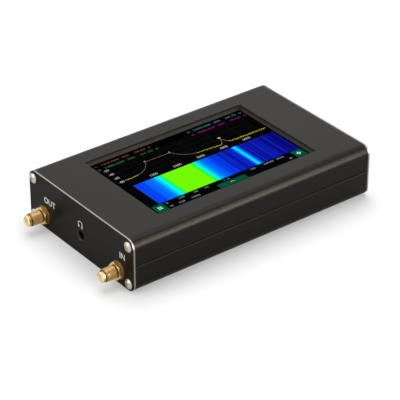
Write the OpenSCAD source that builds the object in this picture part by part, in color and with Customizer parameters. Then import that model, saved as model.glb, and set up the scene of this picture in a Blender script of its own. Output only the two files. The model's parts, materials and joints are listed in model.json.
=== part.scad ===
// Handheld spectrum analyzer: a flat aluminium case of two extruded halves, closed by two
// screwed end plates. The display lies under a window in the top. The left end carries two
// coaxial signal sockets and a headphone jack, the right end a sliding power switch, a jog
// lever, the charging socket and the charge light.
// Millimetres. +X runs along the case to the right end, +Y to the far side, +Z up.
// The origin is the centre of the flat underside.

/* [Case] */
// Space between the window and each long side of the case
side_margin = 12.2; // [10:0.1:20]
// Space between the window and each end of the shells
end_margin = 21.6; // [18:0.1:34]
// Height of the case
body_h = 26.5; // [24:0.5:36]
// Radius of the four long edges
corner_r = 4.5; // [3:0.1:5.5]
// Wall thickness of the shells
wall = 1.2; // [1:0.1:1.8]
// Height of the split line between the shells
seam_z = 14; // [12.5:0.1:16]
// Bevel on the outer edge of each shell at the split line
seam_bevel = 0.4; // [0.1:0.05:0.5]
// Thickness of the lower shell's locating lip
lip_t = 1; // [0.6:0.1:1.6]
// Height of the lip above the split line, and depth of its root below
lip_h = 2; // [1:0.1:3]
// Clearance between the lip and the upper shell
lip_gap = 0.15; // [0.05:0.05:0.3]
// Thickness of the ribs that hold the board
rib_t = 1; // [0.6:0.1:1.6]
// How far the ribs stand out from the wall
rib_w = 1.6; // [1:0.1:2.4]

/* [End plates and screws] */
// Thickness of the end plates
plate_t = 0.8; // [0.6:0.1:2]
// Distance from a screw's axis to the nearest outer faces of the case
screw_inset = 3.7; // [3.4:0.1:4.5]
// Thread diameter of the plate screws
screw_d = 2.5; // [2:0.1:3]
// Length of the plate screws under the head
screw_l = 8; // [5:0.5:14]
// Diameter of the screw heads
screw_head_d = 5; // [4.2:0.1:6]
// Height of the screw heads at the crown
screw_head_h = 1.5; // [1.2:0.1:2.4]
// Height of the screw heads at the rim
screw_rim_h = 0.5; // [0.3:0.1:1]
// Width of the cross recess
cross_w = 0.5; // [0.4:0.1:1]
// Span of the cross recess
cross_l = 2.2; // [1.8:0.1:3.6]
// Depth of the cross recess
cross_depth = 0.6; // [0.4:0.1:1.1]
// How far the screw channels in the corners of the shells reach into the walls
boss_bite = 0.1; // [0.05:0.05:0.5]
// Radial clearance round screws, sockets and other round pieces in their holes
hole_gap = 0.1; // [0.05:0.05:0.3]

/* [Display] */
// Length of the lit area
active_l = 86.4; // [70:0.1:100]
// Width of the lit area
active_w = 51.84; // [42:0.01:60]
// How much longer than the lit area the window is at each end, and wider at each side
window_border = 2.4; // [1:0.1:4]
// Radius of the window's corners
window_r = 0.6; // [0.3:0.1:3]
// Shift of the window towards the right end
window_x = 0.2; // [-2:0.1:2]
// Shift of the window towards the far side
window_y = 0.5; // [-2:0.1:2]
// Shift of the display under the window, towards the right end
panel_shift_x = 1.7; // [-2:0.1:2]
// Shift of the display under the window, towards the far side
panel_shift_y = 2.3; // [-2.3:0.1:2.3]
// How far the glass runs under the case beyond the window
glass_border = 3; // [2:0.1:4]
// Thickness of the touch glass
glass_t = 1.1; // [0.7:0.1:2]
// Thickness of the gasket between the glass and the case
gasket_t = 2; // [0.3:0.1:2.5]
// Distance from the window's edge to the gasket
gasket_inset = 0.1; // [0.1:0.1:1]
// Thickness of the liquid crystal panel
lcd_t = 1; // [0.8:0.1:1.6]
// Edge of the panel round the lit area
lcd_border = 2.6; // [1.5:0.1:4]
// Extra length of the panel where its ribbon is bonded
lcd_tail = 5; // [4:0.1:7]
// Thickness of the backlight
backlight_t = 1.4; // [1:0.1:2.4]
// Width of the display ribbon
ribbon_w = 24; // [12:0.5:30]
// Thickness of the display ribbon
ribbon_t = 0.3; // [0.2:0.05:0.4]
// Inner bend radius of the display ribbon
ribbon_r = 1.5; // [1:0.1:2.5]

/* [Main board] */
// Thickness of the main board
board_t = 1; // [0.8:0.1:1.6]
// Clearance between the board and the ribs
slot_gap = 0.1; // [0.05:0.05:0.3]
// Clearance between the board and the side walls
board_gap = 0.3; // [0.1:0.1:0.6]
// Distance from the board's right edge to the right end plate
board_end_gap = 1; // [0.5:0.1:2]
// Length of the signal shield
shield_l = 70; // [50:1:80]
// Width of the signal shield
shield_w = 60; // [46:1:64]
// Height of the signal shield
shield_h = 4.4; // [3.2:0.1:5.5]
// Sheet thickness of the shield's frame and lid
shield_t = 0.3; // [0.2:0.05:0.5]
// Distance from the left end of the shells to the shield
shield_inset = 17; // [15:0.5:20]
// Side of the processor
processor_l = 14; // [8:0.5:15]
// Side of the signal chips
chip_l = 5; // [3:0.5:8]
// Height of the chips on the board
chip_h = 1.4; // [0.8:0.1:2]

/* [Battery] */
// Length of the battery pack
battery_l = 80; // [60:1:84]
// Width of the battery pack
battery_w = 58; // [50:1:62]
// Room left between the battery and the backlight
battery_gap = 1.5; // [0.8:0.1:3]
// Thickness of the adhesive foam under the battery
tape_t = 1; // [0.5:0.1:2]
// Diameter of the battery leads
lead_d = 1.3; // [0.8:0.1:1.6]
// Distance between the two leads
lead_pitch = 2; // [1.8:0.1:3]
// Bend radius of the battery leads at their middle
lead_r = 2; // [1.5:0.1:3]

/* [Signal sockets] */
// Distance from the sockets' axes to the long sides of the case
socket_inset = 11.5; // [10:0.1:16]
// Height of the sockets' axes
socket_z = 7; // [6.4:0.1:8.5]
// Thread diameter of the sockets
thread_d = 6.35; // [5.5:0.05:7]
// Depth of that thread, which the neck inside the nut shows
thread_depth = 0.35; // [0.2:0.05:0.4]
// How far the sockets stand out from the end plate
socket_proud = 10; // [8:0.1:14]
// Length of the smooth land at the tip
land_l = 1.6; // [0.8:0.1:2.5]
// Diameter of the smooth land
land_d = 5.3; // [5:0.05:5.45]
// Bevel at the tip
tip_bevel = 0.3; // [0.1:0.05:0.3]
// Width of the nut across its flats
nut_af = 7.94; // [7.6:0.01:9]
// Thickness of the nut
nut_t = 1.8; // [1.4:0.1:2.6]
// Turn of the two nuts about their axes, output and input
nut_turn = [0, 15]; // [0:1:60]
// Diameter of the washer
washer_d = 9.2; // [8.6:0.1:10]
// Thickness of the washer
washer_t = 0.6; // [0.4:0.1:1]
// Width of the square flange behind the plate
flange_w = 6.6; // [6.5:0.1:7]
// Thickness of the flange
flange_t = 1.6; // [1:0.1:2.4]
// Width of the four legs that grip the board
leg_w = 1; // [0.6:0.1:1.4]
// Length of the legs
leg_l = 4.2; // [2.5:0.1:6]
// Diameter of the socket's front opening
front_d = 4.6; // [4.3:0.05:4.8]
// Depth of the front opening
front_depth = 1.9; // [1.2:0.1:2.5]
// Diameter of the white insulator
insulator_d = 4.1; // [3.4:0.05:4.2]
// Diameter of the centre contact
contact_d = 1.27; // [1.1:0.01:1.6]
// Bore of the centre contact
contact_bore = 0.94; // [0.8:0.01:1]
// Depth of that bore
contact_depth = 2.5; // [2:0.1:4]
// Diameter of the contact's tail on the board
tail_d = 0.8; // [0.6:0.05:1]
// Length of the contact's tail
tail_l = 3; // [2:0.1:5]

/* [Headphone jack] */
// Diameter of the jack's bore
jack_bore = 3.6; // [3.55:0.05:3.8]
// Depth of the bore
jack_depth = 11.5; // [9:0.1:12]
// Hole in the end plate in front of the jack
jack_hole = 5.2; // [4.2:0.1:6]
// Height of the jack's axis over the board
jack_rise = 3.6; // [2.6:0.1:4]
// Width of the jack
jack_w = 6.6; // [5.5:0.1:8]
// Length of the jack
jack_l = 12.6; // [12.4:0.1:13.5]
// Sheet thickness of the jack's solder lugs
lug_t = 0.3; // [0.2:0.05:0.5]

/* [Charging socket and light] */
// Width of the charging socket
usb_w = 8.94; // [8.5:0.01:9.4]
// Height of the charging socket
usb_h = 3.16; // [3:0.01:3.4]
// Length of the charging socket
usb_l = 7.3; // [6.5:0.1:9]
// Wall of the charging socket
usb_wall = 0.3; // [0.2:0.05:0.4]
// Distance from the socket's rim to the plate's outer face
usb_recess = 0.2; // [0:0.1:0.5]
// Clearance round the socket in the plate
usb_gap = 0.2; // [0.1:0.05:0.4]
// Width of the socket's tongue
tongue_w = 6.7; // [6:0.1:7]
// Thickness of the socket's tongue
tongue_t = 0.7; // [0.5:0.05:0.9]
// Diameter of the light pipe
pipe_d = 2; // [1.4:0.1:2.2]
// Distance from the charging socket's axis to the light pipe's
pipe_offset = 10; // [8:0.5:14]
// Size of the charge light
led_l = 2.4; // [2.2:0.1:3]

/* [Power switch] */
// Distance from the switch's middle to the near side of the case
slider_inset = 16; // [14:0.5:24]
// Travel of the slider between off and on
slider_travel = 2; // [1.5:0.1:3]
// Width of the slider's knob
knob_w = 2; // [1.5:0.1:3]
// Height of the slider's knob
knob_h = 1.8; // [1.2:0.1:2]
// How far the knob stands out from the end plate
knob_proud = 1.5; // [0.8:0.1:2.5]
// Width of the slider inside its case
slider_base_w = 4.4; // [4:0.1:6]
// Clearance of the slider and the lever in their cases and in the plate
control_gap = 0.15; // [0.1:0.05:0.2]
// Height of the two switch cases
switch_h = 3.6; // [3.4:0.1:4.2]
// Wall of the switch cases
switch_wall = 0.5; // [0.3:0.05:0.6]
// Length of the power switch's case
slide_case_l = 4.2; // [3.4:0.1:5.5]
// Distance from the switch cases to the end plate
switch_setback = 1.3; // [0.8:0.1:2]

/* [Jog lever] */
// Distance from the lever's pivot line to the far side of the case
jog_inset = 16; // [14:0.5:24]
// Swing of the lever to each side, in degrees
jog_swing = 8; // [4:0.5:10]
// Travel of the lever when it is pressed
jog_travel = 0.4; // [0.2:0.05:0.6]
// Width of the lever's arm
arm_w = 1.8; // [1.4:0.1:2.4]
// Diameter of the lever's finger tip
jog_tip_d = 2.2; // [1.8:0.1:3]
// How far the lever stands out from the end plate
jog_proud = 2.8; // [2.7:0.1:4.5]
// Distance from the pivot to the end plate
pivot_setback = 5.2; // [4.6:0.1:6]
// Diameter of the pivot pin
pivot_d = 1.2; // [0.8:0.1:1.4]
// Diameter of the lever's hub round the pin
hub_d = 2.8; // [2.4:0.1:3.2]
// Running clearance of the hub on its pin
pivot_gap = 0.05; // [0.02:0.01:0.1]
// Length of the carrier that slides when the lever is pressed
carrier_l = 4.6; // [4:0.1:5]
// Width of the carrier
carrier_w = 7.4; // [6:0.1:8]
// Thickness of the carrier
carrier_t = 0.6; // [0.4:0.1:0.8]

/* [Hidden] */
$fn = 64;
// Overlap of a cutter past the face that it cuts
cut = 1;
// Clearance of pieces that are pressed, glued or snapped together
press_gap = 0.02;

// Window, glass and case
window_l = active_l + 2 * window_border;
window_w = active_w + 2 * window_border;
body_l = window_l + 2 * end_margin;
body_w = window_w + 2 * side_margin;
inner_y = body_w / 2 - wall;
left_x = -body_l / 2;
right_x = body_l / 2;
screw_y = body_w / 2 - screw_inset;
boss_d = 2 * (screw_inset - wall + boss_bite);

// Display stack, from the top down
glass_top = body_h - wall - gasket_t;
lcd_top = glass_top - glass_t;
lcd_z = lcd_top - lcd_t;
backlight_z = lcd_z - backlight_t;
lcd_l = active_l + 2 * lcd_border + lcd_tail;
lcd_w = active_w + 2 * lcd_border;
display_x = window_x + panel_shift_x;
display_y = window_y + panel_shift_y;
lcd_right = display_x + active_l / 2 + lcd_border + lcd_tail;

// Board: the contacts' tails lie on its top
board_top = socket_z - tail_d / 2;
board_z = board_top - board_t;
board_w = body_w - 2 * wall - 2 * board_gap;
board_left = left_x + flange_t + slot_gap;
board_right = right_x - board_end_gap;
slot_floor = board_z - slot_gap;
slot_roof = board_top + slot_gap;

// Shield and battery
shield_x = left_x + shield_inset + shield_l / 2;
shield_right = shield_x + shield_l / 2;
lid_skirt = 1.5;
lid_gap = 0.05;
chip_margin = 1;
coil_l = 6;
coil_h = 2.8;
shield_top = board_top + shield_h;
battery_z = shield_top + tape_t;
battery_h = backlight_z - battery_gap - battery_z;
battery_left = shield_x - shield_l / 2;
battery_right = battery_left + battery_l;
battery_r = 3;
tape_inset = 5;

// Display ribbon and its socket on the board
ribbon_lap = 3;
ribbon_out = 2;
ribbon_x = lcd_right + ribbon_out;
ribbon_socket_l = 5;
ribbon_socket_h = 2;
ribbon_socket_wall = 1;
ribbon_socket_w = ribbon_w + 2 * ribbon_socket_wall;
ribbon_grip = 3;
ribbon_z = board_top + ribbon_socket_h / 2 - ribbon_t / 2;
ribbon_run = 1;
ribbon_socket_x = ribbon_x - ribbon_r - ribbon_run;

// Battery plug and its socket on the board, beside the ribbon's socket
plug_size = [4.2, 6.6, 5.6];
plug_gap = 0.1;
plug_wall = 0.6;
plug_floor = 1;
plug_room = [plug_size[0] + 2 * plug_gap, plug_size[1] + 2 * plug_gap];
plug_socket_l = plug_room[0] + 2 * plug_wall;
plug_socket_w = plug_room[1] + 2 * plug_wall;
plug_socket_h = 4.5;
plug_margin = 1;
plug_x = battery_right + lead_r + plug_margin + plug_socket_l / 2;
plug_y = display_y + ribbon_socket_w / 2 + plug_margin + plug_socket_w / 2;
plug_z = board_top + plug_floor;
plug_top = plug_z + plug_size[2];
lead_rise = 0.5;
lead_z = plug_top + lead_rise + lead_r;

// Signal sockets, measured out from the plate's outer face
socket_y = body_w / 2 - socket_inset;
nut_face = washer_t + nut_t;
thread_relief = 0.3;
thread_start = nut_face + thread_relief;
thread_l = socket_proud - land_l - thread_start;
neck_d = thread_d - 2 * thread_depth;
flange_rear = plate_t + flange_t;
insulator_face = socket_proud - front_depth;

// Headphone jack
jack_z = board_top + jack_rise;
jack_front = left_x + hole_gap;
lug_l = 1.2;
lug_h = 2.5;
lug_foot = 1;
lug_places = [jack_l / 3, jack_l - 2 * lug_l];

// Charging socket and light
usb_z = board_top + usb_h / 2;
usb_front = right_x + plate_t - usb_recess;
tongue_base = 1.5;
tongue_short = 1;
pipe_z = board_top + led_l / 2;
pipe_y = -pipe_offset;
pipe_flange_w = 0.5;
pipe_flange_d = pipe_d + 2 * pipe_flange_w;
pipe_flange_t = 0.6;
pipe_proud = 0.3;
led_gap = 0.1;
led_setback = 1.5;

// Power switch: the slider rests at its off end, towards the near side
slider_y = -(body_w / 2 - slider_inset);
slider_rest_y = slider_y - slider_travel / 2;
slide_front = right_x - switch_setback;
slide_back = slide_front - slide_case_l;
switch_mid = board_top + switch_h / 2;
slider_h = switch_h - 2 * switch_wall - 2 * control_gap;
slider_slot_w = knob_w + slider_travel + 2 * control_gap;
slider_slot_h = knob_h + 2 * control_gap;
slot_r = 0.4;

// Jog lever: the carrier slides on the floor of its case and carries the pivot pin
jog_y = body_w / 2 - jog_inset;
pivot_x = right_x - pivot_setback;
carrier_back = pivot_x - carrier_l / 2;
carrier_z = board_top + switch_wall + control_gap;
pin_z = carrier_z + carrier_t;
pin_h = board_top + switch_h - switch_wall - control_gap - pin_z;
arm_z = pin_z + control_gap;
arm_h = pin_h - 2 * control_gap;
jog_case_back = carrier_back - jog_travel - control_gap - switch_wall;
jog_reach = pivot_setback + plate_t;
jog_slot_w = 2 * (jog_reach * tan(jog_swing) + arm_w / 2 / cos(jog_swing) + control_gap);
jog_slot_h = arm_h + 2 * control_gap;

// Shapes that several pieces share

// Rectangle with round corners, centred
module rounded_rect(l, w, r) {
    square([l - 2 * r, w], center = true);
    square([l, w - 2 * r], center = true);
    for (sx = [-1, 1], sy = [-1, 1])
        translate([sx * (l / 2 - r), sy * (w / 2 - r)])
            circle(r);
}

// Slot with round ends, centred
module slot_outline(l, w) {
    square([l - w, w], center = true);
    for (sx = [-1, 1])
        translate([sx * (l - w) / 2, 0])
            circle(d = w);
}

// Extrudes a cross-section, drawn as Y and Z, along X from x
module along_x(x, l) {
    translate([x, 0, 0])
        rotate([90, 0, 90])
            linear_extrude(height = l)
                children();
}

// Extrudes an outline, drawn as X and Y, upwards from z
module upwards(z, h) {
    translate([0, 0, z])
        linear_extrude(height = h)
            children();
}

// Box from its lowest corner in Z, centred on x and y
module block(x, y, z, l, w, h) {
    translate([x - l / 2, y - w / 2, z])
        cube([l, w, h]);
}

module case_outline() {
    translate([0, body_h / 2])
        rounded_rect(body_w, body_h, corner_r);
}

module case_inside() {
    translate([0, body_h / 2])
        rounded_rect(body_w - 2 * wall, body_h - 2 * wall, corner_r - wall);
}

module window_outline(grow = 0) {
    translate([window_x, window_y])
        rounded_rect(window_l + 2 * grow, window_w + 2 * grow, window_r + max(grow, 0));
}

// Places for the screws, at the given heights
module screw_row(heights) {
    for (sy = [-1, 1], z = heights)
        translate([sy * screw_y, z])
            children();
}

module screw_holes() {
    screw_row([screw_inset, body_h - screw_inset])
        circle(d = screw_d + 2 * hole_gap);
}

// V groove that the two bevels form along the split line
module seam_groove() {
    for (sy = [-1, 1])
        translate([sy * body_w / 2, seam_z])
            rotate(45)
                square(seam_bevel * sqrt(2), center = true);
}

module above_seam() {
    translate([-body_w, seam_z])
        square([2 * body_w, 2 * body_h]);
}

module below(z) {
    translate([-body_w, z - 2 * body_h])
        square([2 * body_w, 2 * body_h]);
}

module upper_profile() {
    difference() {
        union() {
            difference() {
                case_outline();
                case_inside();
            }
            intersection() {
                case_outline();
                screw_row([body_h - screw_inset])
                    circle(d = boss_d);
            }
        }
        below(seam_z);
        screw_holes();
        seam_groove();
    }
}

// Lip and board ribs on one side of the lower shell
module lower_side() {
    lip_y = inner_y - lip_gap - lip_t;
    translate([lip_y, seam_z - lip_h])
        square([lip_t, 2 * lip_h]);
    translate([lip_y, seam_z - lip_h])
        square([lip_t + lip_gap + wall / 2, lip_h]);
    for (z = [slot_floor - rib_t, slot_roof])
        translate([inner_y - rib_w, z])
            square([rib_w + wall / 2, rib_t]);
}

module lower_profile() {
    difference() {
        union() {
            difference() {
                case_outline();
                case_inside();
                above_seam();
            }
            intersection() {
                case_outline();
                below(slot_floor);
                screw_row([screw_inset])
                    circle(d = boss_d);
            }
            lower_side();
            mirror([1, 0])
                lower_side();
        }
        screw_holes();
        seam_groove();
    }
}

// Pan-head screw along +Z with its seat at zero
module pan_screw() {
    crown_rise = screw_head_h - screw_rim_h;
    crown_r = (screw_head_d * screw_head_d / 4 + crown_rise * crown_rise) / (2 * crown_rise);
    difference() {
        intersection() {
            cylinder(d = screw_head_d, h = screw_head_h);
            translate([0, 0, screw_head_h - crown_r])
                sphere(crown_r);
        }
        for (turn = [0, 90])
            rotate(turn)
                block(0, 0, screw_head_h - cross_depth, cross_l, cross_w, cross_depth + cut);
    }
    translate([0, 0, -screw_l])
        cylinder(d = screw_d, h = screw_l);
}

// The four screws of the left (-1) or right (1) end plate
module plate_screws(side) {
    for (sy = [-1, 1], z = [screw_inset, body_h - screw_inset])
        translate([side * (right_x + plate_t), sy * screw_y, z])
            rotate([0, side * 90, 0])
                pan_screw();
}

// Puts a socket's piece at the far (1) or near (-1) socket, with +Z turned out of the plate
module at_socket(side) {
    translate([left_x - plate_t, side * socket_y, socket_z])
        rotate([0, -90, 0])
            children();
}

// Case

module upper_shell() {
    color([0.26, 0.26, 0.26])
        difference() {
            along_x(left_x, body_l)
                upper_profile();
            upwards(body_h - wall - cut, wall + 2 * cut)
                window_outline();
        }
}

module lower_shell() {
    color([0.24, 0.24, 0.24])
        along_x(left_x, body_l)
            lower_profile();
}

module connector_plate() {
    color([0.18, 0.17, 0.16])
        along_x(left_x - plate_t, plate_t)
            difference() {
                case_outline();
                screw_holes();
                for (side = [-1, 1])
                    translate([side * socket_y, socket_z])
                        circle(d = thread_d + 2 * hole_gap);
                translate([0, jack_z])
                    circle(d = jack_hole);
            }
}

module power_plate() {
    color([0.18, 0.17, 0.16])
        along_x(right_x, plate_t)
            difference() {
                case_outline();
                screw_holes();
                translate([0, usb_z])
                    slot_outline(usb_w + 2 * usb_gap, usb_h + 2 * usb_gap);
                translate([pipe_y, pipe_z])
                    circle(d = pipe_d + 2 * hole_gap);
                translate([slider_y, switch_mid])
                    rounded_rect(slider_slot_w, slider_slot_h, slot_r);
                translate([jog_y, arm_z + arm_h / 2])
                    rounded_rect(jog_slot_w, jog_slot_h, slot_r);
            }
}

module connector_plate_screws() {
    color([0.85, 0.84, 0.82])
        plate_screws(-1);
}

module power_plate_screws() {
    color([0.85, 0.84, 0.82])
        plate_screws(1);
}

// Display

module window_gasket() {
    color([0.06, 0.06, 0.06])
        upwards(glass_top, gasket_t)
            difference() {
                window_outline(glass_border - gasket_inset);
                window_outline(gasket_inset);
            }
}

module touch_glass() {
    color([0.05, 0.05, 0.07])
        upwards(lcd_top, glass_t)
            window_outline(glass_border);
}

module lcd_panel() {
    color([0.1, 0.2, 0.5])
        block(lcd_right - lcd_l / 2, display_y, lcd_z, lcd_l, lcd_w, lcd_t);
}

module backlight() {
    color([0.8, 0.8, 0.8])
        block(display_x, display_y, backlight_z, lcd_l - lcd_tail, lcd_w, backlight_t);
}

// Quarter of the ribbon's bend, from the right of its centre to below it
module ribbon_bend() {
    difference() {
        circle(ribbon_r + ribbon_t);
        circle(ribbon_r);
        translate([-2 * ribbon_r, -2 * ribbon_r])
            square([2 * ribbon_r, 4 * ribbon_r]);
        translate([-2 * ribbon_r, 0])
            square([4 * ribbon_r, 2 * ribbon_r]);
    }
}

module display_ribbon() {
    bend_x = ribbon_x - ribbon_r;
    top_z = lcd_z - ribbon_t - ribbon_r;
    low_z = ribbon_z + ribbon_t + ribbon_r;
    lap_x = lcd_right - ribbon_lap;
    grip_x = ribbon_socket_x - ribbon_grip + slot_gap;
    color([0.8, 0.5, 0.15])
        translate([0, display_y, 0])
            rotate([90, 0, 0])
                linear_extrude(height = ribbon_w, center = true) {
                    translate([lap_x, lcd_z - ribbon_t])
                        square([bend_x - lap_x, ribbon_t]);
                    translate([bend_x, top_z])
                        mirror([0, 1])
                            ribbon_bend();
                    translate([ribbon_x, low_z])
                        square([ribbon_t, top_z - low_z]);
                    translate([bend_x, low_z])
                        ribbon_bend();
                    translate([grip_x, ribbon_z])
                        square([bend_x - grip_x, ribbon_t]);
                }
}

module ribbon_socket() {
    color([0.9, 0.88, 0.8])
        difference() {
            block(ribbon_socket_x - ribbon_socket_l / 2, display_y, board_top,
                  ribbon_socket_l, ribbon_socket_w, ribbon_socket_h);
            block(ribbon_socket_x - ribbon_grip / 2 + cut / 2, display_y, ribbon_z - slot_gap,
                  ribbon_grip + cut, ribbon_w + 2 * slot_gap, ribbon_t + 2 * slot_gap);
        }
}

// Board and what stands on it

module main_board() {
    notch_l = screw_l - plate_t + hole_gap + slot_gap;
    notch_y = screw_y - screw_d / 2 - board_gap;
    color([0.05, 0.3, 0.15])
        difference() {
            translate([board_left, -board_w / 2, board_z])
                cube([board_right - board_left, board_w, board_t]);
            for (sx = [-1, 1], sy = [-1, 1])
                block(sx * right_x, sy * (notch_y + board_w / 2), board_z - cut,
                      2 * notch_l, board_w, board_t + 2 * cut);
        }
}

module shield_outline(shrink) {
    translate([shield_x, 0])
        square([shield_l - 2 * shrink, shield_w - 2 * shrink], center = true);
}

module shield_frame() {
    inset = shield_t + lid_gap;
    color([0.75, 0.75, 0.72])
        upwards(board_top, shield_h - shield_t)
            difference() {
                shield_outline(inset);
                shield_outline(inset + shield_t);
            }
}

module shield_lid() {
    color([0.8, 0.8, 0.78]) {
        upwards(shield_top - shield_t, shield_t)
            shield_outline(0);
        upwards(shield_top - lid_skirt, lid_skirt)
            difference() {
                shield_outline(0);
                shield_outline(shield_t);
            }
    }
}

module signal_chips() {
    color([0.12, 0.12, 0.12])
        for (sx = [-1, 0, 1], sy = [-1, 1])
            block(shield_x + sx * shield_l / 4, sy * shield_w / 4, board_top, chip_l, chip_l, chip_h);
}

// Processor, and the coil of the power converter, to the right of the shield
module control_chips() {
    chip_x = shield_right + chip_margin + processor_l / 2;
    color([0.12, 0.12, 0.12]) {
        block(chip_x, -processor_l, board_top, processor_l, processor_l, chip_h);
        block(chip_x, 0, board_top, coil_l, coil_l, coil_h);
    }
}

module battery_tape() {
    color([0.1, 0.1, 0.1])
        block(shield_x, 0, shield_top, shield_l - 2 * tape_inset, battery_w - 2 * tape_inset, tape_t);
}

module battery_pack() {
    color([0.55, 0.56, 0.6])
        upwards(battery_z, battery_h)
            translate([battery_left + battery_l / 2, 0])
                rounded_rect(battery_l, battery_w, battery_r);
}

module battery_leads() {
    bend_x = plug_x - lead_r;
    bend_z = plug_top + lead_rise;
    color([0.75, 0.08, 0.06])
        for (sy = [-1, 1])
            translate([0, plug_y + sy * lead_pitch / 2, 0]) {
                translate([plug_x, 0, plug_top])
                    cylinder(d = lead_d, h = lead_rise);
                translate([bend_x, 0, bend_z])
                    rotate([90, 0, 0])
                        rotate_extrude(angle = 90)
                            translate([lead_r, 0])
                                circle(d = lead_d);
                translate([battery_right, 0, lead_z])
                    rotate([0, 90, 0])
                        cylinder(d = lead_d, h = bend_x - battery_right);
            }
}

module battery_plug() {
    color([0.93, 0.92, 0.88])
        block(plug_x, plug_y, plug_z, plug_size[0], plug_size[1], plug_size[2]);
}

module battery_socket() {
    color([0.9, 0.88, 0.8])
        difference() {
            block(plug_x, plug_y, board_top, plug_socket_l, plug_socket_w, plug_socket_h);
            block(plug_x, plug_y, plug_z, plug_room[0], plug_room[1], plug_socket_h);
        }
}

// Signal sockets, drawn along +Z with zero at the plate's outer face

module socket_body() {
    leg_y = flange_w / 2 - leg_w / 2;
    leg_rows = [-tail_d / 2 + leg_w / 2, -tail_d / 2 - board_t - leg_w / 2];
    color([0.83, 0.62, 0.28])
        difference() {
            union() {
                block(0, 0, -flange_rear, flange_w, flange_w, flange_t);
                for (sy = [-1, 1], x = leg_rows)
                    block(x, sy * leg_y, -flange_rear - leg_l, leg_w, leg_w, leg_l);
                translate([0, 0, -plate_t])
                    cylinder(d = neck_d, h = plate_t + thread_start);
                translate([0, 0, thread_start])
                    cylinder(d = thread_d, h = thread_l);
                translate([0, 0, thread_start + thread_l])
                    cylinder(d = land_d, h = land_l - tip_bevel);
                translate([0, 0, socket_proud - tip_bevel])
                    cylinder(d1 = land_d, d2 = land_d - 2 * tip_bevel, h = tip_bevel);
            }
            translate([0, 0, insulator_face])
                cylinder(d = front_d, h = front_depth + cut);
            translate([0, 0, -flange_rear - cut])
                cylinder(d = insulator_d, h = flange_rear + socket_proud + cut);
        }
}

module socket_insulator() {
    color([0.93, 0.92, 0.88])
        translate([0, 0, -flange_rear])
            difference() {
                cylinder(d = insulator_d - 2 * press_gap, h = flange_rear + insulator_face);
                translate([0, 0, -cut])
                    cylinder(d = contact_d + 2 * press_gap, h = flange_rear + socket_proud + cut);
            }
}

module socket_contact() {
    color([0.88, 0.68, 0.32])
        difference() {
            union() {
                translate([0, 0, -flange_rear])
                    cylinder(d = contact_d, h = flange_rear + insulator_face);
                translate([0, 0, -flange_rear - tail_l])
                    cylinder(d = tail_d, h = tail_l);
            }
            translate([0, 0, insulator_face - contact_depth])
                cylinder(d = contact_bore, h = contact_depth + cut);
        }
}

module socket_washer() {
    color([0.83, 0.62, 0.28])
        difference() {
            cylinder(d = washer_d, h = washer_t);
            translate([0, 0, -cut])
                cylinder(d = thread_d + 2 * hole_gap, h = washer_t + 2 * cut);
        }
}

// Hexagon nut with its outer corners bevelled
module socket_nut(turn) {
    corner_d = nut_af / cos(30);
    color([0.85, 0.64, 0.3])
        difference() {
            intersection() {
                translate([0, 0, washer_t])
                    rotate(turn)
                        cylinder(d = corner_d, h = nut_t, $fn = 6);
                translate([0, 0, nut_face - nut_t - corner_d / 2])
                    cylinder(d1 = 2 * corner_d + nut_af, d2 = nut_af, h = nut_t + corner_d / 2);
            }
            translate([0, 0, -cut])
                cylinder(d = neck_d + 2 * hole_gap, h = nut_face + 2 * cut);
        }
}

module output_socket_body() {
    at_socket(1)
        socket_body();
}

module output_insulator() {
    at_socket(1)
        socket_insulator();
}

module output_contact() {
    at_socket(1)
        socket_contact();
}

module output_washer() {
    at_socket(1)
        socket_washer();
}

module output_nut() {
    at_socket(1)
        socket_nut(nut_turn[0]);
}

module input_socket_body() {
    at_socket(-1)
        socket_body();
}

module input_insulator() {
    at_socket(-1)
        socket_insulator();
}

module input_contact() {
    at_socket(-1)
        socket_contact();
}

module input_washer() {
    at_socket(-1)
        socket_washer();
}

module input_nut() {
    at_socket(-1)
        socket_nut(nut_turn[1]);
}

// Headphone jack

module headphone_jack() {
    color([0.08, 0.08, 0.08])
        difference() {
            translate([jack_front, -jack_w / 2, board_top])
                cube([jack_l, jack_w, 2 * jack_rise]);
            translate([jack_front - cut, 0, jack_z])
                rotate([0, 90, 0])
                    cylinder(d = jack_bore, h = jack_depth + cut);
        }
}

// Solder lugs: a leaf against each side of the jack and a foot on the board
module headphone_lugs() {
    color([0.8, 0.8, 0.78])
        for (sy = [-1, 1], x = lug_places)
            translate([jack_front + x, sy * jack_w / 2, board_top])
                mirror([0, sy < 0 ? 1 : 0, 0]) {
                    translate([-lug_l / 2, 0, 0])
                        cube([lug_l, lug_t, lug_h]);
                    translate([-lug_l / 2, 0, 0])
                        cube([lug_l, lug_foot, lug_t]);
                }
}

// Charging socket and light

module charging_socket() {
    color([0.78, 0.78, 0.77])
        translate([0, 0, usb_z])
            along_x(usb_front - usb_l, usb_l)
                difference() {
                    slot_outline(usb_w, usb_h);
                    slot_outline(usb_w - 2 * usb_wall, usb_h - 2 * usb_wall);
                }
}

// Plastic insert: a plug at the rear of the socket, and the tongue
module charging_tongue() {
    fit = usb_wall + press_gap;
    color([0.08, 0.08, 0.08])
        translate([0, 0, usb_z]) {
            along_x(usb_front - usb_l, tongue_base)
                slot_outline(usb_w - 2 * fit, usb_h - 2 * fit);
            along_x(usb_front - usb_l, usb_l - tongue_short)
                square([tongue_w, tongue_t], center = true);
        }
}

module charge_led() {
    color([0.95, 0.95, 0.85])
        translate([board_right - led_setback - led_l, pipe_y - led_l / 2, board_top])
            cube([led_l, led_l, led_l]);
}

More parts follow.
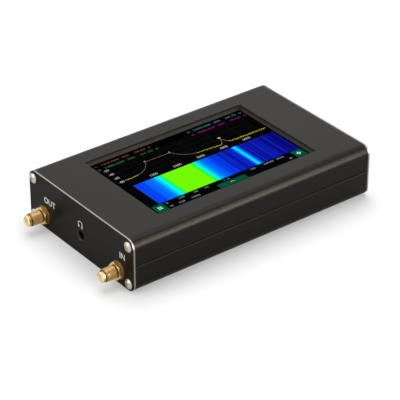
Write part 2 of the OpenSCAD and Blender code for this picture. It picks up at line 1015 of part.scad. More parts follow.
module light_pipe() {
    pipe_start = board_right - led_setback + led_gap;
    pipe_end = right_x + plate_t + pipe_proud;
    color([0.9, 0.95, 1])
        translate([0, pipe_y, pipe_z])
            rotate([0, 90, 0]) {
                translate([0, 0, pipe_start])
                    cylinder(d = pipe_d, h = pipe_end - pipe_start);
                translate([0, 0, right_x - pipe_flange_t])
                    cylinder(d = pipe_flange_d, h = pipe_flange_t);
            }
}

// Power switch

module slide_switch() {
    room_w = slider_base_w + slider_travel + 2 * control_gap;
    color([0.75, 0.75, 0.73])
        difference() {
            translate([slide_back, slider_y - room_w / 2 - switch_wall, board_top])
                cube([slide_case_l, room_w + 2 * switch_wall, switch_h]);
            translate([slide_back + switch_wall, slider_y - room_w / 2, board_top + switch_wall])
                cube([slide_case_l - 2 * switch_wall, room_w, switch_h - 2 * switch_wall]);
            block(slide_front - switch_wall / 2, slider_y, switch_mid - slider_slot_h / 2,
                  switch_wall + 2 * cut, slider_slot_w, slider_slot_h);
        }
}

module power_slider() {
    base_back = slide_back + switch_wall + control_gap;
    base_front = slide_front - switch_wall - control_gap;
    color([0.1, 0.1, 0.1]) {
        translate([base_back, slider_rest_y - slider_base_w / 2, switch_mid - slider_h / 2])
            cube([base_front - base_back, slider_base_w, slider_h]);
        translate([base_back, slider_rest_y - knob_w / 2, switch_mid - knob_h / 2])
            cube([right_x + plate_t + knob_proud - base_back, knob_w, knob_h]);
    }
}

// Jog lever

// Case of the lever's switch, open towards the end plate
module jog_switch() {
    room_w = carrier_w + 2 * control_gap;
    case_l = right_x - switch_setback - jog_case_back;
    color([0.12, 0.12, 0.12])
        difference() {
            translate([jog_case_back, jog_y - room_w / 2 - switch_wall, board_top])
                cube([case_l, room_w + 2 * switch_wall, switch_h]);
            translate([jog_case_back + switch_wall, jog_y - room_w / 2, board_top + switch_wall])
                cube([case_l, room_w, switch_h - 2 * switch_wall]);
        }
}

module jog_carrier() {
    color([0.9, 0.88, 0.82]) {
        translate([carrier_back, jog_y - carrier_w / 2, carrier_z])
            cube([carrier_l, carrier_w, carrier_t]);
        translate([pivot_x, jog_y, carrier_z])
            cylinder(d = pivot_d, h = carrier_t + pin_h);
    }
}

module jog_lever() {
    tip_reach = pivot_setback + plate_t + jog_proud - jog_tip_d / 2;
    color([0.1, 0.1, 0.1])
        translate([pivot_x, jog_y, arm_z])
            difference() {
                union() {
                    cylinder(d = hub_d, h = arm_h);
                    translate([0, -arm_w / 2, 0])
                        cube([tip_reach, arm_w, arm_h]);
                    translate([tip_reach, 0, 0])
                        cylinder(d = jog_tip_d, h = arm_h);
                }
                translate([0, 0, -cut])
                    cylinder(d = pivot_d + 2 * pivot_gap, h = arm_h + 2 * cut);
            }
}

upper_shell();
lower_shell();
connector_plate();
power_plate();
connector_plate_screws();
power_plate_screws();
window_gasket();
touch_glass();
lcd_panel();
backlight();
display_ribbon();
ribbon_socket();
main_board();
shield_frame();
shield_lid();
signal_chips();
control_chips();
battery_tape();
battery_pack();
battery_leads();
battery_plug();
battery_socket();
output_socket_body();
output_insulator();
output_contact();
output_washer();
output_nut();
input_socket_body();
input_insulator();
input_contact();
input_washer();
input_nut();
headphone_jack();
headphone_lugs();
charging_socket();
charging_tongue();
charge_led();
light_pipe();
slide_switch();
power_slider();
jog_switch();
jog_carrier();
jog_lever();
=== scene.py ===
"""Looks of a handheld spectrum analyzer, laid out as an add-on.

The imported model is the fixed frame. Each operator finishes one piece or one group of like pieces,
and the last one sets up the stage. All lengths are in metres.
"""

import json
import math
import random

import bmesh
import bpy
from bpy.props import FloatProperty, FloatVectorProperty, PointerProperty
from mathutils import Matrix, Vector


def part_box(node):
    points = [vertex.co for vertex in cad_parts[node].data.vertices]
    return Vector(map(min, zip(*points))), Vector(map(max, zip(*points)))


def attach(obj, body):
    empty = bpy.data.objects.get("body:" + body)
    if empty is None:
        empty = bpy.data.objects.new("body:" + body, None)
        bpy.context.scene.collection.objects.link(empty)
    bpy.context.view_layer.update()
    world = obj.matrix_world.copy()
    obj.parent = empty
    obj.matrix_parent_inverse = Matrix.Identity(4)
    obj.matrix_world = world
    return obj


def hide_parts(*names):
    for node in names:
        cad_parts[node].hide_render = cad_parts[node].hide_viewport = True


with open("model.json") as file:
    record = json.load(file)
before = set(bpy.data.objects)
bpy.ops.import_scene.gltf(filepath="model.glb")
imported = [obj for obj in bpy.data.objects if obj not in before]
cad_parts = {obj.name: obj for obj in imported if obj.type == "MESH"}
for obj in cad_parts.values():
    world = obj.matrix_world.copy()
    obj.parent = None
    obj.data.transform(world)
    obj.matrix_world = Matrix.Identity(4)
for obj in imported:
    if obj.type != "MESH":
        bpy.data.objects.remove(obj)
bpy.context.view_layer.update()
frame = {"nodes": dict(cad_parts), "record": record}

bl_info = {
    "name": "Handheld spectrum analyzer",
    "version": (1, 0, 0),
    "blender": (4, 5, 0),
    "location": "View3D > Sidebar > Analyzer",
    "description": "Finishes, screen picture, threads and signs of a handheld spectrum analyzer",
    "category": "Object",
}

MM = 0.001
CASE_BODY = "case"
WHITE = (1.0, 1.0, 1.0)

# Place of the screen's picture, from the middle of the backlight
PICTURE_SHIFT = Vector((-0.2 * MM, -0.6 * MM, 0.0))

# Values of a noise texture that count as none and as full, and the stretch that makes streaks of it
NOISE_SPAN = (0.3, 0.7)
STREAK_STRETCH = (1.0, 0.03, 0.03)

# Upward part of a normal under which a surface counts as a wall
WALL_LIMIT = 0.5

# Edges that bend more than this stay sharp, and height of a capital letter as a share of the type size
SHARP_ANGLE = math.radians(35)
CAPITAL_SHARE = 0.73


def low(node):
    """Lowest corner of a node of the frame."""
    return Vector(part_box(node)[0])


def high(node):
    """Highest corner of a node of the frame."""
    return Vector(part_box(node)[1])


def centre(node):
    """Middle of a node's box."""
    return (low(node) + high(node)) / 2


def mount_size(name, measure):
    """A measure of one of the frame's mounts, in metres."""
    for mount in frame["record"]["mounts"]:
        if mount["name"] == name:
            return mount["dims"][measure] * MM
    raise KeyError("the frame has no mount named " + name)


def shade(red, green, blue):
    """Linear colour for screen values from 0 to 255."""
    def linear(value):
        part = value / 255
        if part <= 0.04045:
            return part / 12.92
        return ((part + 0.055) / 1.055) ** 2.4
    return (linear(red), linear(green), linear(blue))


# Settings

def colour_setting(name, description, default):
    """Setting for a linear colour."""
    return FloatVectorProperty(name=name, description=description, default=default, size=3,
                               min=0.0, max=1.0, subtype="COLOR")


def length_setting(name, description, default):
    """Setting for a length."""
    return FloatProperty(name=name, description=description, default=default, min=0.0,
                         precision=5, subtype="DISTANCE", unit="LENGTH")


def share_setting(name, description, default):
    """Setting for a share from 0 to 1."""
    return FloatProperty(name=name, description=description, default=default, min=0.0, max=1.0,
                         subtype="FACTOR")


class CaseSettings(bpy.types.PropertyGroup):
    """Finish of the shells, the end plates and their screws."""

    shell_colour: colour_setting("Shell colour", "Black anodising of the two shells", shade(17, 15, 13))
    plate_colour: colour_setting("Plate colour", "Black anodising of the end plates", shade(20, 18, 16))
    # Painted light: a lighter colour on the window's walls, standing in for the light that falls on them in
    # their shade
    painted_wall_light: colour_setting("Window walls", "Milled walls of the display's window", shade(58, 56, 48))
    # Painted highlight on the band under the split line's bevel, and painted shade in the gap over it
    painted_rim_highlight: colour_setting("Rim", "Rubbed edge along the split line", shade(57, 51, 46))
    painted_gap_shade: colour_setting("Gap", "Gap along the split line", shade(2, 2, 2))
    raw_colour: colour_setting("Raw edge", "Bare aluminium on the cut edges of the plates",
                               shade(136, 131, 126))
    nickel_colour: colour_setting("Nickel", "Plating of the screws", shade(187, 181, 169))
    grain: length_setting("Grain", "Size of the blasted grain under the anodising", 0.16 * MM)
    relief: length_setting("Relief", "Depth of that grain", 0.006 * MM)
    rounding: length_setting("Rounding", "Radius of the broken edges", 0.15 * MM)
    gloss_tint: colour_setting("Gloss tint", "Warm tint of the gloss on the black", (1.0, 0.9, 0.8))


class SocketSettings(bpy.types.PropertyGroup):
    """Threads and plating of the two coaxial sockets."""

    pitch: length_setting("Pitch", "Pitch of the thread", 25.4 * MM / 36)
    depth: length_setting("Depth", "Depth of the thread", 0.34 * MM)
    land: length_setting("Land", "Diameter of the smooth land at the tip", 5.3 * MM)
    land_length: length_setting("Land length", "Length of the smooth land", 1.6 * MM)
    bevel: length_setting("Bevel", "Bevel at the tip", 0.3 * MM)
    gold_colour: colour_setting("Gold", "Gold plating", shade(222, 187, 125))
    # Painted shade: darker gold in the thread's grooves, at the shoulder and, more lightly, on the land
    painted_groove_shade: colour_setting("Grooves", "Gold deep in the thread", shade(50, 28, 5))
    # Painted highlight: pale gold round the mouth and in the bore, standing in for the bright reflections
    # there
    painted_mouth_highlight: colour_setting("Mouth", "Pale gold round the mouth", shade(250, 236, 200))
    # Painted shade: darker gold on the washers' faces, standing in for the shade they lie in beside the nuts
    painted_washer_shade: colour_setting("Washers", "Gold on the faces of the washers", shade(110, 75, 28))
    insulator_colour: colour_setting("Insulator", "White insulator in the socket", shade(236, 234, 226))


class ScreenSettings(bpy.types.PropertyGroup):
    """Picture on the display."""

    line: length_setting("Line", "Width of the trace over the signals", 0.14 * MM)
    noise_line: length_setting("Noise line", "Width of the trace between the signals", 0.22 * MM)
    digit: length_setting("Digits", "Height of the digits", 1.64 * MM)
    glass_colour: colour_setting("Glass", "Black of the screen", shade(1, 1, 2))
    trace_colour: colour_setting("Trace", "Trace over the signals", shade(150, 138, 100))
    noise_colour: colour_setting("Noise", "Trace between the signals", shade(196, 188, 30))
    digit_colour: colour_setting("Axis digits", "Numbers on the axes", shade(190, 190, 190))
    bar_colour: colour_setting("Bar digits", "Readings in the lower bar", shade(150, 150, 146))
    grid_colour: colour_setting("Grid", "Lines behind the trace", shade(30, 30, 30))
    key_colour: colour_setting("Keys", "Touch keys in the lower bar", shade(0, 84, 58))
    sign_colour: colour_setting("Key signs", "Signs on the touch keys", shade(160, 232, 196))


class SignSettings(bpy.types.PropertyGroup):
    """Printed signs on the end plates."""

    ink_colour: colour_setting("Ink", "Ink of the signs", shade(234, 232, 228))
    letter: length_setting("Letters", "Height of the letters over the sockets", 3.1 * MM)
    weight: length_setting("Weight", "How far the letters are thickened on each side", 0.06 * MM)
    film: length_setting("Film", "Thickness of the ink", 0.02 * MM)


class StageSettings(bpy.types.PropertyGroup):
    """Camera, lights and floor."""

    aim: FloatVectorProperty(name="Aim", description="Point in the middle of the picture", size=3,
                             default=(-10.25 * MM, -12.49 * MM, 13.22 * MM),
                             subtype="XYZ", unit="LENGTH")
    azimuth: FloatProperty(name="Azimuth", description="Turn of the camera round the case",
                           default=math.radians(-37.685), subtype="ANGLE", unit="ROTATION")
    elevation: FloatProperty(name="Elevation", description="Height of the camera as an angle",
                             default=math.radians(31.36), subtype="ANGLE", unit="ROTATION")
    distance: length_setting("Distance", "Distance from the camera to the aim", 892.4 * MM)
    focal: FloatProperty(name="Focal length", description="Focal length on a 36 mm wide sensor",
                         default=175.69, unit="CAMERA")
    floor_colour: colour_setting("Floor", "Plain pale floor", (0.612, 0.62, 0.631))
    fill: share_setting("Fill light", "Level of the even light from all round", 0.2)
    lamps: FloatProperty(name="Lamps", description="Level of all lamps together", default=1.0,
                         min=0.0, max=4.0)


class AnalyzerSettings(bpy.types.PropertyGroup):
    """All settings of the analyzer."""

    case: PointerProperty(type=CaseSettings)
    sockets: PointerProperty(type=SocketSettings)
    screen: PointerProperty(type=ScreenSettings)
    signs: PointerProperty(type=SignSettings)
    stage: PointerProperty(type=StageSettings)


# Effects that several materials share

def shared_effect(name, inputs, outputs, kind="NodeSocketFloat"):
    """Marks a function that fills a shader group, so that the group is built once and then shared."""
    def mark(fill):
        def group():
            if name not in bpy.data.node_groups:
                tree = bpy.data.node_groups.new(name, "ShaderNodeTree")
                for label, default in inputs.items():
                    socket = tree.interface.new_socket(name=label, in_out="INPUT",
                                                       socket_type="NodeSocketFloat")
                    socket.default_value = default
                for label in outputs:
                    tree.interface.new_socket(name=label, in_out="OUTPUT", socket_type=kind)
                fill(tree, tree.nodes.new("NodeGroupInput"), tree.nodes.new("NodeGroupOutput"))
            return bpy.data.node_groups[name]
        return group
    return mark


def math_node(tree, operation, first, second):
    """Math node; each operand is a socket or a number."""
    node = tree.nodes.new("ShaderNodeMath")
    node.operation = operation
    for socket, value in zip(node.inputs, (first, second)):
        if isinstance(value, (int, float)):
            socket.default_value = value
        else:
            tree.links.new(value, socket)
    return node.outputs["Value"]


def noise_node(tree, vector, scale, detail):
    """Noise texture that spans about 0 to 1."""
    node = tree.nodes.new("ShaderNodeTexNoise")
    node.inputs["Detail"].default_value = detail
    tree.links.new(vector, node.inputs["Vector"])
    tree.links.new(scale, node.inputs["Scale"])
    spread = tree.nodes.new("ShaderNodeMapRange")
    for label, value in zip(("From Min", "From Max"), NOISE_SPAN):
        spread.inputs[label].default_value = value
    tree.links.new(node.outputs["Fac"], spread.inputs["Value"])
    return spread.outputs["Result"]


@shared_effect("grain_and_mottling", {"Grain Size": 0.2 * MM, "Mottle Size": 12 * MM}, ("Grain", "Mottle"))
def grain_effect(tree, start, end):
    """Fine grain, and broad mottling from handling and uneven finishing."""
    place = tree.nodes.new("ShaderNodeTexCoord").outputs["Object"]
    fine = math_node(tree, "DIVIDE", 1.0, start.outputs["Grain Size"])
    broad = math_node(tree, "DIVIDE", 1.0, start.outputs["Mottle Size"])
    tree.links.new(noise_node(tree, place, fine, 2.0), end.inputs["Grain"])
    tree.links.new(noise_node(tree, place, broad, 4.0), end.inputs["Mottle"])


@shared_effect("broken_edges", {"Radius": 0.1 * MM}, ("Normal",), kind="NodeSocketVector")
def edge_effect(tree, start, end):
    """Broken edges: the normal, turned smoothly round them."""
    bevel = tree.nodes.new("ShaderNodeBevel")
    bevel.samples = 6
    tree.links.new(start.outputs["Radius"], bevel.inputs["Radius"])
    tree.links.new(bevel.outputs["Normal"], end.inputs["Normal"])


@shared_effect("tool_marks", {"Spacing": 0.1 * MM}, ("Streak",))
def streak_effect(tree, start, end):
    """Tool marks: streaks across the length of the case, as rings on what is turned along it."""
    place = tree.nodes.new("ShaderNodeTexCoord").outputs["Object"]
    stretch = tree.nodes.new("ShaderNodeVectorMath")
    stretch.operation = "MULTIPLY"
    stretch.inputs[1].default_value = STREAK_STRETCH
    tree.links.new(place, stretch.inputs[0])
    scale = math_node(tree, "DIVIDE", 1.0, start.outputs["Spacing"])
    tree.links.new(noise_node(tree, stretch.outputs["Vector"], scale, 2.0), end.inputs["Streak"])


@shared_effect("cut_edges", {"Limit": 0.6}, ("Cut",))
def cut_effect(tree, start, end):
    """Edges of a flat piece that lies across the case: whatever does not face along the case."""
    facing = tree.nodes.new("ShaderNodeSeparateXYZ")
    tree.links.new(tree.nodes.new("ShaderNodeTexCoord").outputs["Normal"], facing.inputs["Vector"])
    along = math_node(tree, "ABSOLUTE", facing.outputs["X"], 0.0)
    tree.links.new(math_node(tree, "LESS_THAN", along, start.outputs["Limit"]), end.inputs["Cut"])


@shared_effect("window_walls_painted_light", {"Half Length": 45 * MM, "Half Width": 28 * MM, "Floor": 25 * MM}, ("Wall",))
def window_effect(tree, start, end):
    """Walls of the display's window, which get painted light that lifts them out of their shade: what is
    inside its outline and does not face up.
    """
    texture = tree.nodes.new("ShaderNodeTexCoord")
    place = tree.nodes.new("ShaderNodeSeparateXYZ")
    facing = tree.nodes.new("ShaderNodeSeparateXYZ")
    tree.links.new(texture.outputs["Object"], place.inputs["Vector"])
    tree.links.new(texture.outputs["Normal"], facing.inputs["Vector"])
    along = math_node(tree, "ABSOLUTE", place.outputs["X"], 0.0)
    across = math_node(tree, "ABSOLUTE", place.outputs["Y"], 0.0)
    upright = math_node(tree, "LESS_THAN", facing.outputs["Z"], WALL_LIMIT)
    inside = math_node(tree, "MULTIPLY", math_node(tree, "LESS_THAN", along, start.outputs["Half Length"]),
                       math_node(tree, "LESS_THAN", across, start.outputs["Half Width"]))
    above = math_node(tree, "GREATER_THAN", place.outputs["Z"], start.outputs["Floor"])
    wall = math_node(tree, "MULTIPLY", math_node(tree, "MULTIPLY", inside, upright), above)
    tree.links.new(wall, end.inputs["Wall"])


@shared_effect("shell_rim_painted_highlight_and_shade", {"Edge": 13.2 * MM, "Gap": 13.7 * MM}, ("Edge", "Gap"))
def painted_rim_effect(tree, start, end):
    """Rim of a shell: a band under its bevel, which gets a painted highlight, and the gap over that, which
    gets painted shade.
    """
    place = tree.nodes.new("ShaderNodeSeparateXYZ")
    tree.links.new(tree.nodes.new("ShaderNodeTexCoord").outputs["Object"], place.inputs["Vector"])
    for label in ("Edge", "Gap"):
        over = math_node(tree, "GREATER_THAN", place.outputs["Z"], start.outputs[label])
        tree.links.new(over, end.inputs[label])


def place_effect(tree, group, **values):
    """Puts a group into a material's tree and sets its inputs; underscores stand for spaces."""
    node = tree.nodes.new("ShaderNodeGroup")
    node.node_tree = group
    for label, value in values.items():
        node.inputs[label.replace("_", " ")].default_value = value
    return node


def mix_colour(tree, factor, first, second):
    """Mixes two colours; each is a socket or a colour."""
    node = tree.nodes.new("ShaderNodeMix")
    node.data_type = "RGBA"
    tree.links.new(factor, node.inputs["Factor"])
    # Sockets 6 and 7, and 2 on the other side, are the ones for colours
    for socket, value in zip(node.inputs[6:8], (first, second)):
        if isinstance(value, bpy.types.NodeSocket):
            tree.links.new(value, socket)
        else:
            socket.default_value = (*value, 1.0)
    return node.outputs[2]


def spread_value(tree, factor, first, second):
    """Value that runs from first to second with the factor."""
    node = tree.nodes.new("ShaderNodeMapRange")
    tree.links.new(factor, node.inputs["Value"])
    for label, value in (("To Min", first), ("To Max", second)):
        if isinstance(value, bpy.types.NodeSocket):
            tree.links.new(value, node.inputs[label])
        else:
            node.inputs[label].default_value = value
    return node.outputs["Result"]


def tone(colour, factor):
    """A colour made lighter or darker."""
    return tuple(min(part * factor, 1.0) for part in colour)


class Finish:
    """Material whose colour mottles, whose gloss follows its grain and whose edges are broken."""

    def __init__(self, name, colour, gloss=(0.4, 0.5), grain=0.2 * MM, relief=0.004 * MM,
                 mottle=12 * MM, contrast=0.12, rounding=0.1 * MM,
                 metallic=0.0, specular=0.5, tint=WHITE):
        self.material = bpy.data.materials.new(name)
        self.material.use_nodes = True
        self.tree = self.material.node_tree
        self.shader = self.tree.nodes["Principled BSDF"]
        self.shader.inputs["Metallic"].default_value = metallic
        self.shader.inputs["Specular IOR Level"].default_value = specular
        self.shader.inputs["Specular Tint"].default_value = (*tint, 1.0)
        marks = place_effect(self.tree, grain_effect(), Grain_Size=grain, Mottle_Size=mottle)
        edges = place_effect(self.tree, edge_effect(), Radius=rounding)
        self.colour = mix_colour(self.tree, marks.outputs["Mottle"],
                                 tone(colour, 1 - contrast), tone(colour, 1 + contrast))
        self.gloss = spread_value(self.tree, marks.outputs["Grain"], *gloss)
        self.bump = self.tree.nodes.new("ShaderNodeBump")
        self.bump.inputs["Distance"].default_value = relief
        self.join(marks.outputs["Grain"], self.bump.inputs["Height"])
        self.join(edges.outputs["Normal"], self.bump.inputs["Normal"])
        self.join(self.bump.outputs["Normal"], self.shader.inputs["Normal"])
        self.use(self.colour, self.gloss)

    def join(self, source, target):
        """Links two sockets of the material."""
        self.tree.links.new(source, target)

    def use(self, colour, gloss):
        """Sends a colour and a roughness to the shader."""
        self.join(colour, self.shader.inputs["Base Color"])
        self.join(gloss, self.shader.inputs["Roughness"])

    def turn(self, spacing):
        """Gives the relief the rings of turned metal."""
        streaks = place_effect(self.tree, streak_effect(), Spacing=spacing)
        self.join(streaks.outputs["Streak"], self.bump.inputs["Height"])
        return self

    def blend_marked(self, layer, colour, gloss):
        """Blends in a colour and a roughness where a layer of the mesh asks for it."""
        mark = self.tree.nodes.new("ShaderNodeAttribute")
        mark.attribute_name = layer
        self.colour = mix_colour(self.tree, mark.outputs["Fac"], self.colour, colour)
        self.gloss = spread_value(self.tree, mark.outputs["Fac"], self.gloss, gloss)
        self.use(self.colour, self.gloss)

    def glow(self, strength):
        """Lets the colour shine, as a lit display does."""
        self.join(self.colour, self.shader.inputs["Emission Color"])
        self.shader.inputs["Emission Strength"].default_value = strength
        for link in list(self.shader.inputs["Base Color"].links):
            self.tree.links.remove(link)
        self.shader.inputs["Base Color"].default_value = (0.0, 0.0, 0.0, 1.0)
        return self


def dress(finish, *nodes):
    """Gives nodes of the frame a finish."""
    for node in nodes:
        for slot in frame["nodes"][node].material_slots:
            slot.material = finish.material


# Meshes

def add_piece(name, mesh, finish, replaced=()):
    """Makes an object of a bmesh and puts it on the case."""
    bmesh.ops.recalc_face_normals(mesh, faces=mesh.faces)
    data = bpy.data.meshes.new(name)
    mesh.to_mesh(data)
    mesh.free()
    data.materials.append(finish.material)
    data.shade_smooth()
    data.set_sharp_from_angle(angle=SHARP_ANGLE)
    piece = bpy.data.objects.new(name, data)
    bpy.context.scene.collection.objects.link(piece)
    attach(piece, CASE_BODY)
    if replaced:
        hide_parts(*replaced)


def add_slab(mesh, outline, floor, thickness, place):
    """Adds a closed flat slab: an outline in u and v, raised from floor, put in place."""
    rings = []
    for level in (floor, floor + thickness):
        rings.append([mesh.verts.new(place @ Vector((u, v, level))) for u, v in outline])
    mesh.faces.new(rings[1])
    mesh.faces.new(reversed(rings[0]))
    for here in range(len(outline)):
        after = (here + 1) % len(outline)
        mesh.faces.new((rings[0][here], rings[0][after], rings[1][after], rings[1][here]))


def add_words(mesh, words, height, thickness, place, align="LEFT", width=None, weight=0.0):
    """Adds words as thin raised letters whose capitals have the given height, fitted to a width if given."""
    curve = bpy.data.curves.new("words", "FONT")
    curve.body = words
    curve.size = height / CAPITAL_SHARE
    curve.offset = weight
    curve.extrude = thickness / 2
    curve.resolution_u = 4
    curve.align_x = align
    holder = bpy.data.objects.new("words", curve)
    bpy.context.scene.collection.objects.link(holder)
    graph = bpy.context.evaluated_depsgraph_get()
    letters = bpy.data.meshes.new_from_object(holder.evaluated_get(graph), depsgraph=graph)
    stretch = width / holder.dimensions.x if width else 1.0
    letters.transform(place @ Matrix.Diagonal((stretch, 1, 1, 1)) @ Matrix.Translation((0, 0, thickness / 2)))
    mesh.from_mesh(letters)
    bmesh.ops.remove_doubles(mesh, verts=mesh.verts, dist=thickness / 20)
    bpy.data.objects.remove(holder)
    bpy.data.curves.remove(curve)
    bpy.data.meshes.remove(letters)


def rectangle(left, right, bottom, top):
    """Corners of a rectangle."""
    return [(left, bottom), (right, bottom), (right, top), (left, top)]


def arc(radius, begin, end, steps):
    """Points on an arc, with its angles in degrees."""
    points = []
    for step in range(steps + 1):
        angle = math.radians(begin + (end - begin) * step / steps)
        points.append((radius * math.cos(angle), radius * math.sin(angle)))
    return points


def band(radius, width, begin, end, steps):
    """Outline of a bent band."""
    outer = arc(radius + width / 2, begin, end, steps)
    inner = arc(radius - width / 2, begin, end, steps)
    return outer + inner[::-1]


def on_left_plate(y, z):
    """Place on the left end plate: u runs to the right as seen from outside, v up."""
    face = low("connector_plate").x
    return Matrix(((0, 0, -1, face), (-1, 0, 0, y), (0, 1, 0, z), (0, 0, 0, 1)))


def on_right_plate(y, z):
    """The same on the right end plate."""
    face = high("power_plate").x
    return Matrix(((0, 0, 1, face), (1, 0, 0, y), (0, 1, 0, z), (0, 0, 0, 1)))


def on_glass(x=0.0, y=0.0, layer=0.0):
    """Place on the touch glass over the display, a little above it for upper layers of the picture."""
    middle = centre("backlight") + PICTURE_SHIFT
    return Matrix.Translation((middle.x + x, middle.y + y, high("touch_glass").z + layer))


# Pieces

class AnalyzerOperator:
    """What all operators of the analyzer share."""

    bl_options = {"REGISTER", "UNDO"}


class ANALYZER_OT_shells(AnalyzerOperator, bpy.types.Operator):
    """Black anodised finish of the two shells"""

    bl_idname = "analyzer.shells"
    bl_label = "Shells"

    # How far the mask of the window's walls, which get painted light, reaches past the display
    reach = 4 * MM

    # How far the band of painted highlight and the gap of painted shade lie under the split line, and the
    # roughness of both
    edge_drop = 0.75 * MM
    gap_drop = 0.28 * MM
    rim_gloss = 0.9

    def anodised(self, name, case):
        """Black anodising over blasted aluminium."""
        return Finish(name, case.shell_colour, gloss=(0.32, 0.4), grain=case.grain,
                      relief=case.relief, mottle=18 * MM, contrast=0.06, rounding=case.rounding,
                      specular=0.095, tint=case.gloss_tint)

    def execute(self, context):
        case = context.scene.analyzer.case
        upper = self.anodised("black_anodised_upper_painted_wall_light", case)
        # Painted light: the window's walls get a lighter colour that stands in for light falling into the
        # window
        wall = place_effect(upper.tree, window_effect(), Half_Length=high("lcd_panel").x + self.reach,
                            Half_Width=high("lcd_panel").y + self.reach, Floor=low("touch_glass").z)
        upper.use(mix_colour(upper.tree, wall.outputs["Wall"], upper.colour, case.painted_wall_light), upper.gloss)
        dress(upper, "upper_shell")
        lower = self.anodised("black_anodised_lower_painted_rim", case)
        split = low("upper_shell").z
        # Painted highlight on the band under the bevel and painted shade in the gap, both set by height
        rim = place_effect(lower.tree, painted_rim_effect(), Edge=split - self.edge_drop, Gap=split - self.gap_drop)
        edge = mix_colour(lower.tree, rim.outputs["Edge"], lower.colour, case.painted_rim_highlight)
        lower.use(mix_colour(lower.tree, rim.outputs["Gap"], edge, case.painted_gap_shade),
                  spread_value(lower.tree, rim.outputs["Edge"], lower.gloss, self.rim_gloss))
        dress(lower, "lower_shell")
        return {"FINISHED"}


class ANALYZER_OT_plates(AnalyzerOperator, bpy.types.Operator):
    """Black end plates with bare cut edges"""

    bl_idname = "analyzer.plates"
    bl_label = "End plates"

    # Bare edges: spacing and depth of their streaks, roughness, and how metallic they look
    streak_spacing = 0.12 * MM
    streak_shade = 0.85
    edge_gloss = 0.4
    edge_metal = 0.6

    def execute(self, context):
        case = context.scene.analyzer.case
        finish = Finish("black_anodised_plate", case.plate_colour, gloss=(0.3, 0.42),
                        grain=case.grain, relief=case.relief / 2, mottle=22 * MM, contrast=0.08,
                        rounding=case.rounding / 2, specular=0.05, tint=case.gloss_tint)
        tree = finish.tree
        cut = place_effect(tree, cut_effect()).outputs["Cut"]
        streaks = place_effect(tree, streak_effect(), Spacing=self.streak_spacing).outputs["Streak"]
        bare = mix_colour(tree, streaks, tone(case.raw_colour, self.streak_shade), case.raw_colour)
        finish.use(mix_colour(tree, cut, finish.colour, bare),
                   spread_value(tree, cut, finish.gloss, self.edge_gloss))
        finish.join(spread_value(tree, cut, 0.0, self.edge_metal), finish.shader.inputs["Metallic"])
        dress(finish, "connector_plate", "power_plate")
        return {"FINISHED"}


class ANALYZER_OT_screws(AnalyzerOperator, bpy.types.Operator):
    """Nickel plated screws of the end plates"""

    bl_idname = "analyzer.screws"
    bl_label = "Screws"

    def execute(self, context):
        case = context.scene.analyzer.case
        finish = Finish("nickel_plating", case.nickel_colour, gloss=(0.28, 0.38),
                        grain=0.1 * MM, relief=0.002 * MM, mottle=1.5 * MM, contrast=0.05,
                        rounding=case.rounding, metallic=1.0)
        dress(finish, "connector_plate_screws", "power_plate_screws")
        return {"FINISHED"}


